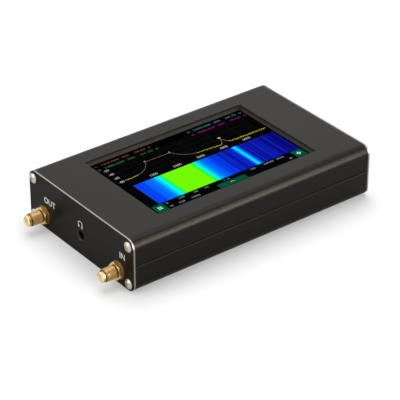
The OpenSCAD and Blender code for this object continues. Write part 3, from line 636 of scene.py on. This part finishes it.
class ANALYZER_OT_sockets(AnalyzerOperator, bpy.types.Operator):
    """Threaded coaxial sockets with their washers, nuts, insulators and contacts"""

    bl_idname = "analyzer.sockets"
    bl_label = "Coaxial sockets"

    # Steps round the barrel, and rows for each turn of the thread
    around = 72
    rows = 10

    # Thread: slope of its flanks, and share of its depth that is flat at the root
    flank_slope = 1.35
    root_flat = 0.15

    # Width of the legs that grip the board, and play of the insulator in the bore
    leg = 1.0 * MM
    bore_play = 0.05 * MM

    # How much of the grooves' painted shade the land behind the tip gets, which dims its highlight
    land_painted_shade = 0.35

    # Roughness in the grooves and round the mouth, and spacing of the rings that turning leaves
    groove_gloss = 0.6
    mouth_gloss = 0.55
    ring_spacing = 0.07 * MM

    def thread_sunk(self, settings, start, end, out, angle):
        """How deep the helical thread is at a distance from the plate and an angle, 0 on its crest."""
        turn = (out - start) / settings.pitch - angle / (2 * math.pi)
        ridge = abs(2 * (turn - math.floor(turn)) - 1)
        flank = min(max(self.flank_slope * ridge - self.root_flat, 0.0), 1.0)
        fade = min((out - start) / settings.pitch, (end - out) / settings.pitch, 1.0)
        return 1 - flank * max(fade, 0.0)

    def barrel(self, settings, side):
        """Body of one socket, as rings of points round its axis, from the rear to the tip and back."""
        body = side + "_socket_body"
        plate = low("connector_plate").x
        thickness = high("connector_plate").x - plate
        axis = centre(side + "_washer")
        rear = plate - high(side + "_insulator").x
        tip = plate - low(body).x
        floor = plate - low(side + "_insulator").x
        nut = plate - low(side + "_nut").x
        bore = (high(side + "_insulator").y - low(side + "_insulator").y) / 2 + self.bore_play / 2
        flange = (high(body).y - low(body).y) / 2
        mouth = mount_size(side + "_mouth", "r_mm")
        crest = mount_size(side + "_thread", "r_mm")
        neck = crest - settings.depth
        land = settings.land / 2
        shoulder = tip - settings.land_length
        angles = [2 * math.pi * step / self.around for step in range(self.around)]

        def round_row(out, radius, sunk=0.0, mouth_highlight=0.0):
            return [(out, radius, angle, sunk, mouth_highlight) for angle in angles]

        def square_row(out):
            return [(out, flange / max(abs(math.cos(angle)), abs(math.sin(angle))), angle, 0.0, 0.0)
                    for angle in angles]

        def thread_row(out):
            # The thread's depth sets both its radius and how much painted shade it gets
            sunk = [self.thread_sunk(settings, nut, shoulder, out, angle) for angle in angles]
            return [(out, crest - settings.depth * share, angle, share, 0.0)
                    for angle, share in zip(angles, sunk)]

        turns = (shoulder - nut) / settings.pitch
        steps = int(turns * self.rows)
        rows = [round_row(rear, bore), square_row(rear), square_row(-thickness),
                round_row(-thickness, neck)]
        rows += [thread_row(nut + (shoulder - nut) * step / steps) for step in range(steps + 1)]
        # Painted shade at the shoulder and, more lightly, on the land
        rows += [round_row(shoulder, land, sunk=1.0),
                 round_row(shoulder + settings.bevel, land, sunk=self.land_painted_shade),
                 round_row(tip - settings.bevel, land, sunk=self.land_painted_shade),
                 # Painted highlight round the mouth and in the bore
                 round_row(tip, land - settings.bevel, mouth_highlight=1.0),
                 round_row(tip, mouth, mouth_highlight=1.0), round_row(floor, mouth, mouth_highlight=1.0),
                 round_row(floor, bore, mouth_highlight=1.0)]
        mesh = bmesh.new()
        # The groove layer marks where painted shade goes, the mouth layer where painted highlight goes
        layers = [mesh.verts.layers.float.new(name) for name in ("groove", "mouth")]
        rings = []
        for row in rows:
            ring = []
            for out, radius, angle, *marks in row:
                vert = mesh.verts.new((plate - out, axis.y + radius * math.sin(angle),
                                       axis.z + radius * math.cos(angle)))
                for layer, mark in zip(layers, marks):
                    vert[layer] = mark
                ring.append(vert)
            rings.append(ring)
        for ring, beyond in zip(rings, rings[1:] + rings[:1]):
            for here in range(self.around):
                after = (here + 1) % self.around
                mesh.faces.new((ring[here], ring[after], beyond[after], beyond[here]))
        self.legs(mesh, plate - rear, high(body).x, axis.y, flange)
        return mesh

    def legs(self, mesh, begin, end, middle, flange):
        """Four legs on the flange that grip the board from above and below."""
        for offset in (-1, 1):
            y = middle + offset * (flange - self.leg / 2)
            for z in (high("main_board").z + self.leg / 2, low("main_board").z - self.leg / 2):
                add_slab(mesh, rectangle(begin, end, y - self.leg / 2, y + self.leg / 2),
                         z - self.leg / 2, self.leg, Matrix.Identity(4))

    def plating(self, name, colour):
        """Bright plating on turned metal."""
        finish = Finish(name, colour, gloss=(0.24, 0.36), grain=0.12 * MM, relief=0.003 * MM,
                        mottle=2 * MM, contrast=0.05, rounding=0.08 * MM, metallic=1.0)
        return finish.turn(self.ring_spacing)

    def execute(self, context):
        settings = context.scene.analyzer.sockets
        gold = self.plating("gold_plating", settings.gold_colour)
        # Painted shade: darker gold where the mesh marks the grooves, the shoulder and the land
        gold.blend_marked("groove", settings.painted_groove_shade, self.groove_gloss)
        # Painted highlight: pale gold where the mesh marks the mouth
        gold.blend_marked("mouth", settings.painted_mouth_highlight, self.mouth_gloss)
        # Painted shade on the faces of the washers; their cut rims keep the plain gold
        washer = self.plating("gold_washer_painted_shade", settings.painted_washer_shade)
        rim = place_effect(washer.tree, cut_effect()).outputs["Cut"]
        washer.use(mix_colour(washer.tree, rim, washer.colour, settings.gold_colour), washer.gloss)
        white = Finish("white_insulator", settings.insulator_colour, gloss=(0.45, 0.6),
                       grain=0.15 * MM, mottle=1.5 * MM, contrast=0.04, rounding=0.05 * MM)
        for side in ("output", "input"):
            add_piece(side + "_threaded_socket", self.barrel(settings, side), gold,
                      replaced=[side + "_socket_body"])
            dress(gold, side + "_nut", side + "_contact")
            dress(washer, side + "_washer")
            dress(white, side + "_insulator")
        return {"FINISHED"}


class ANALYZER_OT_jack(AnalyzerOperator, bpy.types.Operator):
    """Headphone jack behind the left end plate"""

    bl_idname = "analyzer.jack"
    bl_label = "Headphone jack"

    def execute(self, context):
        dress(Finish("jack_plastic", shade(10, 10, 11), gloss=(0.45, 0.6), mottle=4 * MM, specular=0.15),
              "headphone_jack")
        dress(Finish("tinned_lugs", shade(198, 196, 190), gloss=(0.3, 0.45), mottle=1 * MM,
                     metallic=1.0), "headphone_lugs")
        return {"FINISHED"}


class ANALYZER_OT_display(AnalyzerOperator, bpy.types.Operator):
    """Touch glass, the display under it and the picture that it shows"""

    bl_idname = "analyzer.display"
    bl_label = "Display"

    # Thickness of one layer of the picture, and seeds of the level chart and of the trace
    film = 0.012 * MM
    chart_seed = 11
    trace_seed = 5

    # Grid: half the width of a line, and how far the upright lines stay off the level chart
    half_line = 0.06 * MM
    grid_gap = 4 * MM

    # Numbers along the axes: gap beside them, lowest level, and steps of the levels and the frequencies
    label_gap = 0.6 * MM
    lowest_level = -80
    level_step = 20
    frequency_step = 1200

    # Markers: size over the tone and at the ends of the band, and gap over the tone
    tone_marker = 1.5 * MM
    band_marker = 0.8 * MM
    marker_gap = 0.8 * MM

    # Height of the small digits and of the readouts, as shares of the digits along the axes
    small_digit = 0.7
    readout_digit = 0.85

    # Layout of the picture, from its middle: level chart, steps and starts of both axes, and top of the plot
    chart_left = -38.5 * MM
    chart_right = 43.0 * MM
    chart_bottom = -19.2 * MM
    chart_top = 0.5 * MM
    scale_step_x = 13.6 * MM
    scale_step_y = 4.1 * MM
    scale_x = 2.0 * MM
    scale_y = 6.4 * MM
    plot_top = 19.6 * MM

    # Signal: noise floor at the left and right, a flat band and a single tone over it
    floor_left = 6.15 * MM
    floor_right = 5.45 * MM
    band_left = -21.5 * MM
    band_right = -7.3 * MM
    band_rise = 8.4 * MM
    band_skirt = 4.2 * MM
    tone_left = 18.8 * MM
    tone_right = 19.8 * MM
    tone_rise = 3.6 * MM
    tone_skirt = 0.9 * MM

    # Noise of the trace: step along it, swing, least share of it on a signal, and the rise that counts as one
    trace_step = 0.26 * MM
    trace_swing = 0.6 * MM
    trace_calm = 0.04
    noise_limit = 0.9 * MM

    # Level chart: width of a column and ripple of the levels
    column = 0.4 * MM
    ripple = 0.35 * MM

    # Lowest and highest level that has a colour of its own, in mm, and the screen colours between them
    coldest = 5.0
    hottest = 14.0
    level_colours = (
        (0.0, (4, 4, 60)), (0.06, (11, 11, 126)), (0.1, (12, 38, 206)),
        (0.16, (5, 68, 246)), (0.33, (2, 150, 252)), (0.5, (4, 250, 250)),
        (0.7, (10, 250, 60)), (0.85, (92, 250, 6)), (1.0, (116, 250, 6)),
    )

    # Number, finish, screen colour and digits of each readout along the top, and its place and width in mm
    readouts = (
        ("1", "lit_orange", (136, 70, 32), "1:  1250.000  300   -38.50  6", -43.3, 24.4, 31.3),
        ("2", "lit_green", (44, 118, 62), "2:  1480.000  300   -61.25  6", -43.6, 21.2, 34.4),
        ("3", "lit_teal", (52, 128, 136), "3:  2400.000  300   -55.75  6", 10.2, 24.4, 32.6),
        ("4", "lit_purple", (132, 30, 112), "4:  4200.000  300   -70.50  6", 10.5, 21.2, 32.6),
    )

    # Lower bar, in mm: height of each row of readings with their places, and edges of the touch keys
    bar_rows = (
        (-21.3, ((-36.2, "10"), (-29, "2.500"), (-20.2, "300"), (-14.2, "100"),
                 (-3.2, "1 : 16"), (12.8, "0.50"), (20.4, "6000.000"), (28, "300.00"))),
        (-24.5, ((-36.2, "-20"), (-31, "0.250"), (-24, "1200.00"), (33.4, "85"))),
    )
    key_edges = (
        (-43.2, -37.3, -25.5, -19.6),
        (37.2, 43.1, -25.5, -19.6),
        (-8.3, 7.8, -25.5, -22.2),
    )

    # Signs on the keys: places of the fields, the crossed arrows and the chevron, and size of a field
    fields_at = (-40.3 * MM, -22.5 * MM)
    arrows_at = (40.1 * MM, -22.5 * MM)
    chevron_at = (-0.25 * MM, -24.0 * MM)
    field = 0.95 * MM

    def noise_floor(self, x):
        """Height of the noise floor at a place along the chart."""
        share = (x - self.chart_left) / (self.chart_right - self.chart_left)
        return self.floor_left + (self.floor_right - self.floor_left) * share

    def signal(self, x):
        """Height of the smooth signal over its noise floor at a place along the chart."""
        outside = max(self.band_left - x, x - self.band_right, 0.0)
        beside = max(self.tone_left - x, x - self.tone_right, 0.0)
        return max(self.band_rise * math.exp(-outside / self.band_skirt),
                   self.tone_rise * math.exp(-beside / self.tone_skirt))

    def level_chart(self):
        """Chart of columns whose colour follows the level of the signal."""
        dice = random.Random(self.chart_seed)
        mesh = bmesh.new()
        level = mesh.verts.layers.float.new("level")
        place = on_glass()
        count = round((self.chart_right - self.chart_left) / self.column)
        edges = []
        for step in range(count + 1):
            x = self.chart_left + step * self.column
            rise = self.signal(x)
            ripple = dice.uniform(-self.ripple, self.ripple) * (1 - rise / self.band_rise)
            edge = []
            for y, z in ((self.chart_bottom, 0), (self.chart_top, 0),
                         (self.chart_top, self.film), (self.chart_bottom, self.film)):
                vert = mesh.verts.new(place @ Vector((x, y, z)))
                vert[level] = (self.noise_floor(x) + rise + ripple) / MM
                edge.append(vert)
            edges.append(edge)
        for near, far in zip(edges, edges[1:]):
            for here in range(4):
                after = (here + 1) % 4
                mesh.faces.new((near[here], near[after], far[after], far[here]))
        mesh.faces.new(edges[0])
        mesh.faces.new(edges[-1][::-1])
        return mesh

    def chart_finish(self):
        """Glowing colour scale of the level chart, from dark blue to yellow green."""
        finish = Finish("level_colours", WHITE, gloss=(0.12, 0.2), rounding=0.001 * MM, specular=0.0)
        tree = finish.tree
        level = tree.nodes.new("ShaderNodeAttribute")
        level.attribute_name = "level"
        share = tree.nodes.new("ShaderNodeMapRange")
        share.inputs["From Min"].default_value = self.coldest
        share.inputs["From Max"].default_value = self.hottest
        finish.join(level.outputs["Fac"], share.inputs["Value"])
        ramp = tree.nodes.new("ShaderNodeValToRGB")
        elements = ramp.color_ramp.elements
        while len(elements) < len(self.level_colours):
            elements.new(1.0)
        for element, (position, colour) in zip(elements, self.level_colours):
            element.position = position
            element.color = (*shade(*colour), 1.0)
        finish.join(share.outputs["Result"], ramp.inputs["Fac"])
        finish.colour = ramp.outputs["Color"]
        return finish.glow(1.0)

    def trace(self, width, noisy):
        """Part of the trace: either the noise between the signals, or the thinner line of the signals."""
        dice = random.Random(self.trace_seed)
        points = []
        x = self.chart_left
        while x < self.chart_right:
            rise = self.signal(x)
            noise = dice.uniform(-self.trace_swing, self.trace_swing)
            share = max(1 - rise / self.noise_limit, self.trace_calm)
            points.append((x, self.noise_floor(x) + rise + noise * share))
            x += self.trace_step
        mesh = bmesh.new()
        for (x1, y1), (x2, y2) in zip(points, points[1:]):
            if (self.signal((x1 + x2) / 2) < self.noise_limit) != noisy:
                continue
            along = Vector((x2 - x1, y2 - y1)).normalized() * width / 2
            side = Vector((-along.y, along.x))
            corners = [Vector((x1, y1)) - along / 2 - side, Vector((x2, y2)) + along / 2 - side,
                       Vector((x2, y2)) + along / 2 + side, Vector((x1, y1)) - along / 2 + side]
            add_slab(mesh, [tuple(corner) for corner in corners], 2 * self.film, self.film, on_glass())
        return mesh

    def grid(self):
        """Faint lines behind the trace."""
        line = self.half_line
        mesh = bmesh.new()
        for step in range(-3, 4):
            x = self.scale_x + step * self.scale_step_x
            if self.chart_left < x < self.chart_right:
                add_slab(mesh, rectangle(x - line, x + line, self.chart_top + self.grid_gap, self.plot_top),
                         0, self.film, on_glass())
        for step in range(4):
            y = self.scale_y + step * self.scale_step_y
            add_slab(mesh, rectangle(self.chart_left, self.chart_right, y - line, y + line),
                     self.film, self.film / 2, on_glass())
        return mesh

    def axis_digits(self, height):
        """Numbers along both axes, and markers over the tone and the ends of the band."""
        mesh = bmesh.new()
        for step in range(4):
            place = on_glass(self.chart_left - self.label_gap,
                             self.scale_y + step * self.scale_step_y - height / 2, self.film)
            level = str(self.lowest_level + self.level_step * step)
            add_words(mesh, level, height, self.film, place, "RIGHT")
        for step in range(5):
            place = on_glass(self.scale_x + (step - 2) * self.scale_step_x, self.chart_top + height,
                             self.film)
            frequency = str(self.frequency_step * (step + 1))
            add_words(mesh, frequency, height, self.film, place, "CENTER")
        tone_middle = (self.tone_left + self.tone_right) / 2
        for x, rise, size in ((tone_middle, self.tone_rise + self.marker_gap, self.tone_marker),
                              (self.band_left, self.band_rise, self.band_marker),
                              (self.band_right, self.band_rise, self.band_marker)):
            top = self.noise_floor(x) + rise
            half = 0.6 * size
            add_slab(mesh, [(x, top), (x + half, top + size), (x - half, top + size)],
                     4 * self.film, self.film, on_glass())
        return mesh

    def bar_digits(self, height):
        """Two rows of small readings in the lower bar."""
        mesh = bmesh.new()
        for y, readings in self.bar_rows:
            for x, digits in readings:
                add_words(mesh, digits, height, self.film, on_glass(x * MM, y * MM, self.film))
        return mesh

    def readout(self, digits, x, y, height, width):
        """One line of digits along the top of the picture, fitted to its width."""
        mesh = bmesh.new()
        add_words(mesh, digits, height, self.film, on_glass(x, y - height / 2, self.film), width=width)
        return mesh

    def keys(self):
        """Touch keys: one at each end of the lower bar and one in its middle."""
        mesh = bmesh.new()
        for edges in self.key_edges:
            add_slab(mesh, rectangle(*[edge * MM for edge in edges]), 0, self.film, on_glass())
        return mesh

    def key_signs(self):
        """Signs on the keys: four fields, crossed arrows and a chevron."""
        mesh = bmesh.new()
        half = self.field / 2
        apart = 0.65 * self.field
        for u in (-apart, apart):
            for v in (-apart, apart):
                add_slab(mesh, rectangle(u - half, u + half, v - half, v + half),
                         self.film, self.film, on_glass(*self.fields_at))
        for turn in range(4):
            place = on_glass(*self.arrows_at) @ Matrix.Rotation(turn * math.pi / 2, 4, "Z")
            head = [(0.25 * MM, -0.7 * MM), (1.5 * MM, 0), (0.25 * MM, 0.7 * MM)]
            add_slab(mesh, head, self.film, self.film, place)
        for side in (-1, 1):
            stroke = [(0, 0.6 * MM), (side * 1.2 * MM, -0.35 * MM), (side * 1.2 * MM, -0.05 * MM),
                      (0, 0.9 * MM)]
            add_slab(mesh, stroke, self.film, self.film, on_glass(*self.chevron_at))
        return mesh

    def lit(self, name, colour):
        """Glowing finish of one layer of the picture."""
        return Finish(name, colour, gloss=(0.12, 0.2), mottle=6 * MM, contrast=0.1,
                      rounding=0.001 * MM, specular=0.0).glow(1.0)

    def execute(self, context):
        screen = context.scene.analyzer.screen
        glass = Finish("black_touch_glass", screen.glass_colour, gloss=(0.05, 0.1),
                       grain=0.3 * MM, relief=0.0005 * MM, mottle=25 * MM, contrast=0.15,
                       rounding=0.05 * MM, specular=0.001)
        dress(glass, "touch_glass")
        dress(Finish("grey_gasket", shade(82, 77, 69), gloss=(0.6, 0.75), mottle=5 * MM, specular=0.2),
              "window_gasket")
        dress(Finish("dark_panel", shade(22, 24, 34), gloss=(0.15, 0.25), mottle=20 * MM), "lcd_panel")
        dress(Finish("backlight_tray", shade(216, 216, 212), gloss=(0.4, 0.5), mottle=15 * MM), "backlight")
        add_piece("screen_level_chart", self.level_chart(), self.chart_finish())
        small = self.small_digit * screen.digit
        layers = [
            ("screen_noise", self.trace(screen.noise_line, True), "lit_noise", screen.noise_colour),
            ("screen_trace", self.trace(screen.line, False), "lit_trace", screen.trace_colour),
            ("screen_grid", self.grid(), "lit_grid", screen.grid_colour),
            ("screen_axis_digits", self.axis_digits(screen.digit), "lit_digits", screen.digit_colour),
            ("screen_bar_digits", self.bar_digits(small), "lit_bar_digits", screen.bar_colour),
            ("screen_keys", self.keys(), "lit_keys", screen.key_colour),
            ("screen_key_signs", self.key_signs(), "lit_key_signs", screen.sign_colour),
        ]
        for number, finish, colour, digits, x, y, width in self.readouts:
            mesh = self.readout(digits, x * MM, y * MM, self.readout_digit * screen.digit, width * MM)
            layers.append(("screen_readout_" + number, mesh, finish, shade(*colour)))
        for name, mesh, finish, colour in layers:
            add_piece(name, mesh, self.lit(finish, colour))
        return {"FINISHED"}


class ANALYZER_OT_signs(AnalyzerOperator, bpy.types.Operator):
    """Printed signs on the end plates"""

    bl_idname = "analyzer.signs"
    bl_label = "Printed signs"

    # Words on the left plate with their places, and heights of the other signs
    words = (("OUT", 24.4 * MM, 13.9 * MM), ("IN", -31.9 * MM, 14.0 * MM))
    headphones_at = 16.0 * MM
    right_row = 13.6 * MM

    def headphones(self, mesh, film, place):
        """Headband with an ear cushion at each end."""
        radius = 1.48 * MM
        stroke = 0.42 * MM
        half = stroke / 2
        add_slab(mesh, band(radius, stroke, 0, 180, 20), 0, film, place)
        for side in (-1, 1):
            x = side * radius
            add_slab(mesh, rectangle(x - half, x + half, -0.9 * MM, 0), 0, film, place)
            cup = side * (radius - 0.25 * MM)
            cushion = rectangle(cup - stroke, cup + stroke, -1.82 * MM, -0.45 * MM)
            add_slab(mesh, cushion, 0, film, place)

    def power(self, mesh, film, place):
        """Open ring with a bar."""
        add_slab(mesh, band(1.1 * MM, 0.3 * MM, 125, 415, 24), 0, film, place)
        add_slab(mesh, rectangle(-0.15 * MM, 0.15 * MM, 0.2 * MM, 1.5 * MM), 0, film, place)

    def charge(self, mesh, film, place):
        """Flash of lightning."""
        points = ((0.35, 1.5), (-0.8, -0.15), (-0.1, -0.15), (-0.35, -1.5), (0.8, 0.25), (0.1, 0.25))
        add_slab(mesh, [(u * MM, v * MM) for u, v in points], 0, film, place)

    def jog(self, mesh, film, place):
        """Arrow heads to both sides of a dot."""
        add_slab(mesh, arc(0.45 * MM, 0, 345, 23), 0, film, place)
        for side in (-1, 1):
            add_slab(mesh, [(side * 1.1 * MM, -0.8 * MM), (side * 2.2 * MM, 0), (side * 1.1 * MM, 0.8 * MM)],
                     0, film, place)

    def execute(self, context):
        signs = context.scene.analyzer.signs
        ink = Finish("printed_ink", signs.ink_colour, gloss=(0.5, 0.65), grain=0.1 * MM,
                     mottle=3 * MM, contrast=0.06, rounding=0.001 * MM, specular=0.3)
        film = signs.film
        left = bmesh.new()
        for word, y, z in self.words:
            add_words(left, word, signs.letter, film, on_left_plate(y, z), "CENTER", weight=signs.weight)
        self.headphones(left, film, on_left_plate(0, self.headphones_at))
        add_piece("left_plate_signs", left, ink)
        right = bmesh.new()
        beside = ((self.power, "slide_switch"), (self.charge, "light_pipe"), (self.jog, "jog_switch"))
        for draw, node in beside:
            draw(right, film, on_right_plate(centre(node).y, self.right_row))
        add_piece("right_plate_signs", right, ink)
        return {"FINISHED"}


class ANALYZER_OT_controls(AnalyzerOperator, bpy.types.Operator):
    """Power slider and jog lever with their switches"""

    bl_idname = "analyzer.controls"
    bl_label = "Power slider and jog lever"

    def execute(self, context):
        black = Finish("control_plastic", shade(30, 30, 31), gloss=(0.42, 0.55), grain=0.12 * MM,
                       relief=0.006 * MM, mottle=2 * MM, rounding=0.2 * MM, specular=0.35)
        dress(black, "power_slider", "jog_lever", "jog_switch")
        dress(Finish("carrier_plastic", shade(226, 222, 208), gloss=(0.4, 0.55), mottle=2 * MM),
              "jog_carrier")
        dress(Finish("switch_steel", shade(190, 189, 186), gloss=(0.25, 0.4), mottle=2 * MM,
                     metallic=1.0), "slide_switch")
        return {"FINISHED"}


class ANALYZER_OT_charging(AnalyzerOperator, bpy.types.Operator):
    """Charging socket, its tongue and the charge light"""

    bl_idname = "analyzer.charging"
    bl_label = "Charging socket and light"

    def execute(self, context):
        dress(Finish("socket_steel", shade(202, 201, 198), gloss=(0.22, 0.36), mottle=2 * MM,
                     rounding=0.12 * MM, metallic=1.0), "charging_socket")
        dress(Finish("tongue_plastic", shade(26, 26, 27), gloss=(0.4, 0.5), mottle=2 * MM),
              "charging_tongue")
        dress(Finish("light_lens", shade(236, 230, 196), gloss=(0.2, 0.3), mottle=1 * MM), "charge_led")
        pipe = Finish("clear_pipe", shade(236, 240, 242), gloss=(0.08, 0.18), mottle=1 * MM,
                      contrast=0.03, rounding=0.15 * MM)
        pipe.shader.inputs["Transmission Weight"].default_value = 0.6
        dress(pipe, "light_pipe")
        return {"FINISHED"}


class ANALYZER_OT_inside(AnalyzerOperator, bpy.types.Operator):
    """Board, shield, chips, battery and ribbon inside the case"""

    bl_idname = "analyzer.inside"
    bl_label = "Inside pieces"

    def execute(self, context):
        dress(Finish("board_lacquer", shade(18, 78, 44), gloss=(0.25, 0.4), mottle=6 * MM,
                     contrast=0.2), "main_board")
        dress(Finish("shield_tin", shade(196, 196, 190), gloss=(0.28, 0.42), mottle=9 * MM,
                     metallic=1.0), "shield_frame", "shield_lid")
        dress(Finish("chip_resin", shade(28, 28, 29), gloss=(0.5, 0.65), mottle=3 * MM),
              "signal_chips", "control_chips")
        dress(Finish("foam_tape", shade(40, 40, 40), gloss=(0.75, 0.9), grain=0.5 * MM,
                     relief=0.05 * MM), "battery_tape")
        dress(Finish("pouch_foil", shade(170, 172, 178), gloss=(0.3, 0.5), grain=1.2 * MM,
                     relief=0.03 * MM, metallic=1.0), "battery_pack")
        dress(Finish("lead_insulation", shade(176, 24, 18), gloss=(0.35, 0.5), mottle=2 * MM),
              "battery_leads")
        dress(Finish("connector_nylon", shade(232, 228, 212), gloss=(0.4, 0.55), mottle=3 * MM),
              "battery_plug", "battery_socket", "ribbon_socket")
        dress(Finish("ribbon_film", shade(206, 130, 42), gloss=(0.2, 0.35), mottle=4 * MM),
              "display_ribbon")
        return {"FINISHED"}


class ANALYZER_OT_stage(AnalyzerOperator, bpy.types.Operator):
    """Pale floor, soft studio light and the camera"""

    bl_idname = "analyzer.stage"
    bl_label = "Stage"

    floor_size = 8.0
    floor_drop = 0.05 * MM
    floor_gloss = 0.9
    sensor = 36.0

    # How much the floor is lifted to white near the case and far from it, and where that begins and ends
    near_lift = 0.3
    far_lift = 1.0
    near = 0.3
    far = 1.0

    # Name, place, width and height, power and colour of each lamp, and the surfaces that show it
    lamps = (
        ("overhead_lamp", (0.2, 0.25, 0.95), (0.9, 0.9), 10.0, (1.0, 1.0, 1.0), {"matt"}),
        ("overhead_card", (0.1, 0.12, 0.987), (0.9, 0.9), 10.0, (1.0, 1.0, 1.0), {"gloss"}),
        ("back_lamp", (0.52, 0.68, 0.52), (0.5, 0.5), 0.85, (0.94, 0.97, 1.0), {"matt", "gloss"}),
        ("front_lamp", (0.1, -0.87, 0.48), (1.0, 0.6), 4.3, (1.0, 0.96, 0.91), {"matt", "gloss"}),
        ("left_lamp", (-0.8, 0.25, 0.45), (0.6, 0.6), 2.8, (1.0, 0.99, 0.97), {"matt", "gloss"}),
        ("low_card", (0.48, -0.84, 0.24), (0.3, 0.42), 12.5, (1.0, 0.97, 0.92), {"gloss"}),
        ("high_card", (0.52, -0.63, 0.575), (0.3, 0.4), 5.0, (1.0, 0.97, 0.92), {"gloss"}),
    )

    def background_rays(self, tree):
        """Share of a ray that shows the background: seen straight, in gloss or through clear plastic."""
        path = tree.nodes.new("ShaderNodeLightPath")
        seen = math_node(tree, "MAXIMUM", path.outputs["Is Camera Ray"], path.outputs["Is Glossy Ray"])
        return math_node(tree, "MAXIMUM", seen, path.outputs["Is Transmission Ray"])

    def lift(self, tree):
        """Level that grows with the distance from the case."""
        distance = tree.nodes.new("ShaderNodeVectorMath")
        distance.operation = "LENGTH"
        tree.links.new(tree.nodes.new("ShaderNodeTexCoord").outputs["Object"], distance.inputs[0])
        level = tree.nodes.new("ShaderNodeMapRange")
        for label, value in (("From Min", self.near), ("From Max", self.far),
                             ("To Min", self.near_lift), ("To Max", self.far_lift)):
            level.inputs[label].default_value = value
        tree.links.new(distance.outputs["Value"], level.inputs["Value"])
        return level.outputs["Result"]

    def floor(self, stage):
        """Floor that keeps the shadow, and is lifted to white where it is seen."""
        half = self.floor_size / 2
        mesh = bmesh.new()
        corners = [mesh.verts.new((x, y, -self.floor_drop)) for x, y in rectangle(-half, half, -half, half)]
        mesh.faces.new(corners)
        data = bpy.data.meshes.new("floor")
        mesh.to_mesh(data)
        mesh.free()
        material = bpy.data.materials.new("pale_floor")
        material.use_nodes = True
        tree = material.node_tree
        shader = tree.nodes["Principled BSDF"]
        shader.inputs["Base Color"].default_value = (*stage.floor_colour, 1.0)
        shader.inputs["Roughness"].default_value = self.floor_gloss
        shader.inputs["Specular IOR Level"].default_value = 0.0
        shader.inputs["Emission Color"].default_value = (*WHITE, 1.0)
        tree.links.new(math_node(tree, "MULTIPLY", self.background_rays(tree), self.lift(tree)),
                       shader.inputs["Emission Strength"])
        data.materials.append(material)
        floor = bpy.data.objects.new("floor", data)
        bpy.context.scene.collection.objects.link(floor)

    def world(self, stage):
        """Even light from all round, which looks white where it is seen."""
        world = bpy.data.worlds.new("studio")
        world.use_nodes = True
        tree = world.node_tree
        background = tree.nodes["Background"]
        background.inputs["Color"].default_value = (*WHITE, 1.0)
        level = spread_value(tree, self.background_rays(tree), stage.fill, 1.0)
        tree.links.new(level, background.inputs["Strength"])
        bpy.context.scene.world = world

    def lamp(self, name, place, size, power, colour, shown):
        """Soft rectangular lamp that faces the case."""
        light = bpy.data.lights.new(name, "AREA")
        light.shape = "RECTANGLE"
        light.size, light.size_y = size
        light.energy = power
        light.color = colour
        holder = bpy.data.objects.new(name, light)
        holder.location = place
        holder.rotation_euler = (-Vector(place)).to_track_quat("-Z", "Y").to_euler()
        holder.visible_diffuse = "matt" in shown
        holder.visible_glossy = "gloss" in shown
        bpy.context.scene.collection.objects.link(holder)

    def camera(self, stage):
        """Camera that looks at the aim from its distance and angles."""
        flat = math.cos(stage.elevation)
        back = Vector((math.sin(stage.azimuth) * flat, -math.cos(stage.azimuth) * flat,
                       math.sin(stage.elevation)))
        lens = bpy.data.cameras.new("camera")
        lens.lens = stage.focal
        lens.sensor_width = self.sensor
        lens.clip_start = 10 * MM
        holder = bpy.data.objects.new("camera", lens)
        holder.location = Vector(stage.aim) + back * stage.distance
        holder.rotation_euler = (-back).to_track_quat("-Z", "Y").to_euler()
        bpy.context.scene.collection.objects.link(holder)
        bpy.context.scene.camera = holder

    def execute(self, context):
        stage = context.scene.analyzer.stage
        self.floor(stage)
        self.world(stage)
        for name, place, size, power, colour, shown in self.lamps:
            self.lamp(name, place, size, stage.lamps * power, colour, shown)
        self.camera(stage)
        context.scene.view_settings.view_transform = "Standard"
        return {"FINISHED"}


STEPS = (
    ANALYZER_OT_shells,
    ANALYZER_OT_plates,
    ANALYZER_OT_screws,
    ANALYZER_OT_sockets,
    ANALYZER_OT_jack,
    ANALYZER_OT_display,
    ANALYZER_OT_signs,
    ANALYZER_OT_controls,
    ANALYZER_OT_charging,
    ANALYZER_OT_inside,
    ANALYZER_OT_stage,
)


class ANALYZER_PT_panel(bpy.types.Panel):
    """Lists the steps of the analyzer and its settings"""

    bl_idname = "ANALYZER_PT_panel"
    bl_label = "Spectrum analyzer"
    bl_space_type = "VIEW_3D"
    bl_region_type = "UI"
    bl_category = "Analyzer"

    def draw(self, context):
        for step in STEPS:
            self.layout.operator(step.bl_idname)
        settings = context.scene.analyzer
        for group in (settings.case, settings.sockets, settings.screen, settings.signs, settings.stage):
            box = self.layout.box()
            for name in group.__annotations__:
                box.prop(group, name)


CLASSES = (CaseSettings, SocketSettings, ScreenSettings, SignSettings, StageSettings, AnalyzerSettings,
           *STEPS, ANALYZER_PT_panel)


def register():
    for kind in CLASSES:
        bpy.utils.register_class(kind)
    bpy.types.Scene.analyzer = PointerProperty(type=AnalyzerSettings)


def unregister():
    del bpy.types.Scene.analyzer
    for kind in reversed(CLASSES):
        bpy.utils.unregister_class(kind)


def main():
    """Builds the whole scene."""
    register()
    bpy.ops.analyzer.shells()
    bpy.ops.analyzer.plates()
    bpy.ops.analyzer.screws()
    bpy.ops.analyzer.sockets()
    bpy.ops.analyzer.jack()
    bpy.ops.analyzer.display()
    bpy.ops.analyzer.signs()
    bpy.ops.analyzer.controls()
    bpy.ops.analyzer.charging()
    bpy.ops.analyzer.inside()
    bpy.ops.analyzer.stage()


if __name__ == "__main__":
    main()
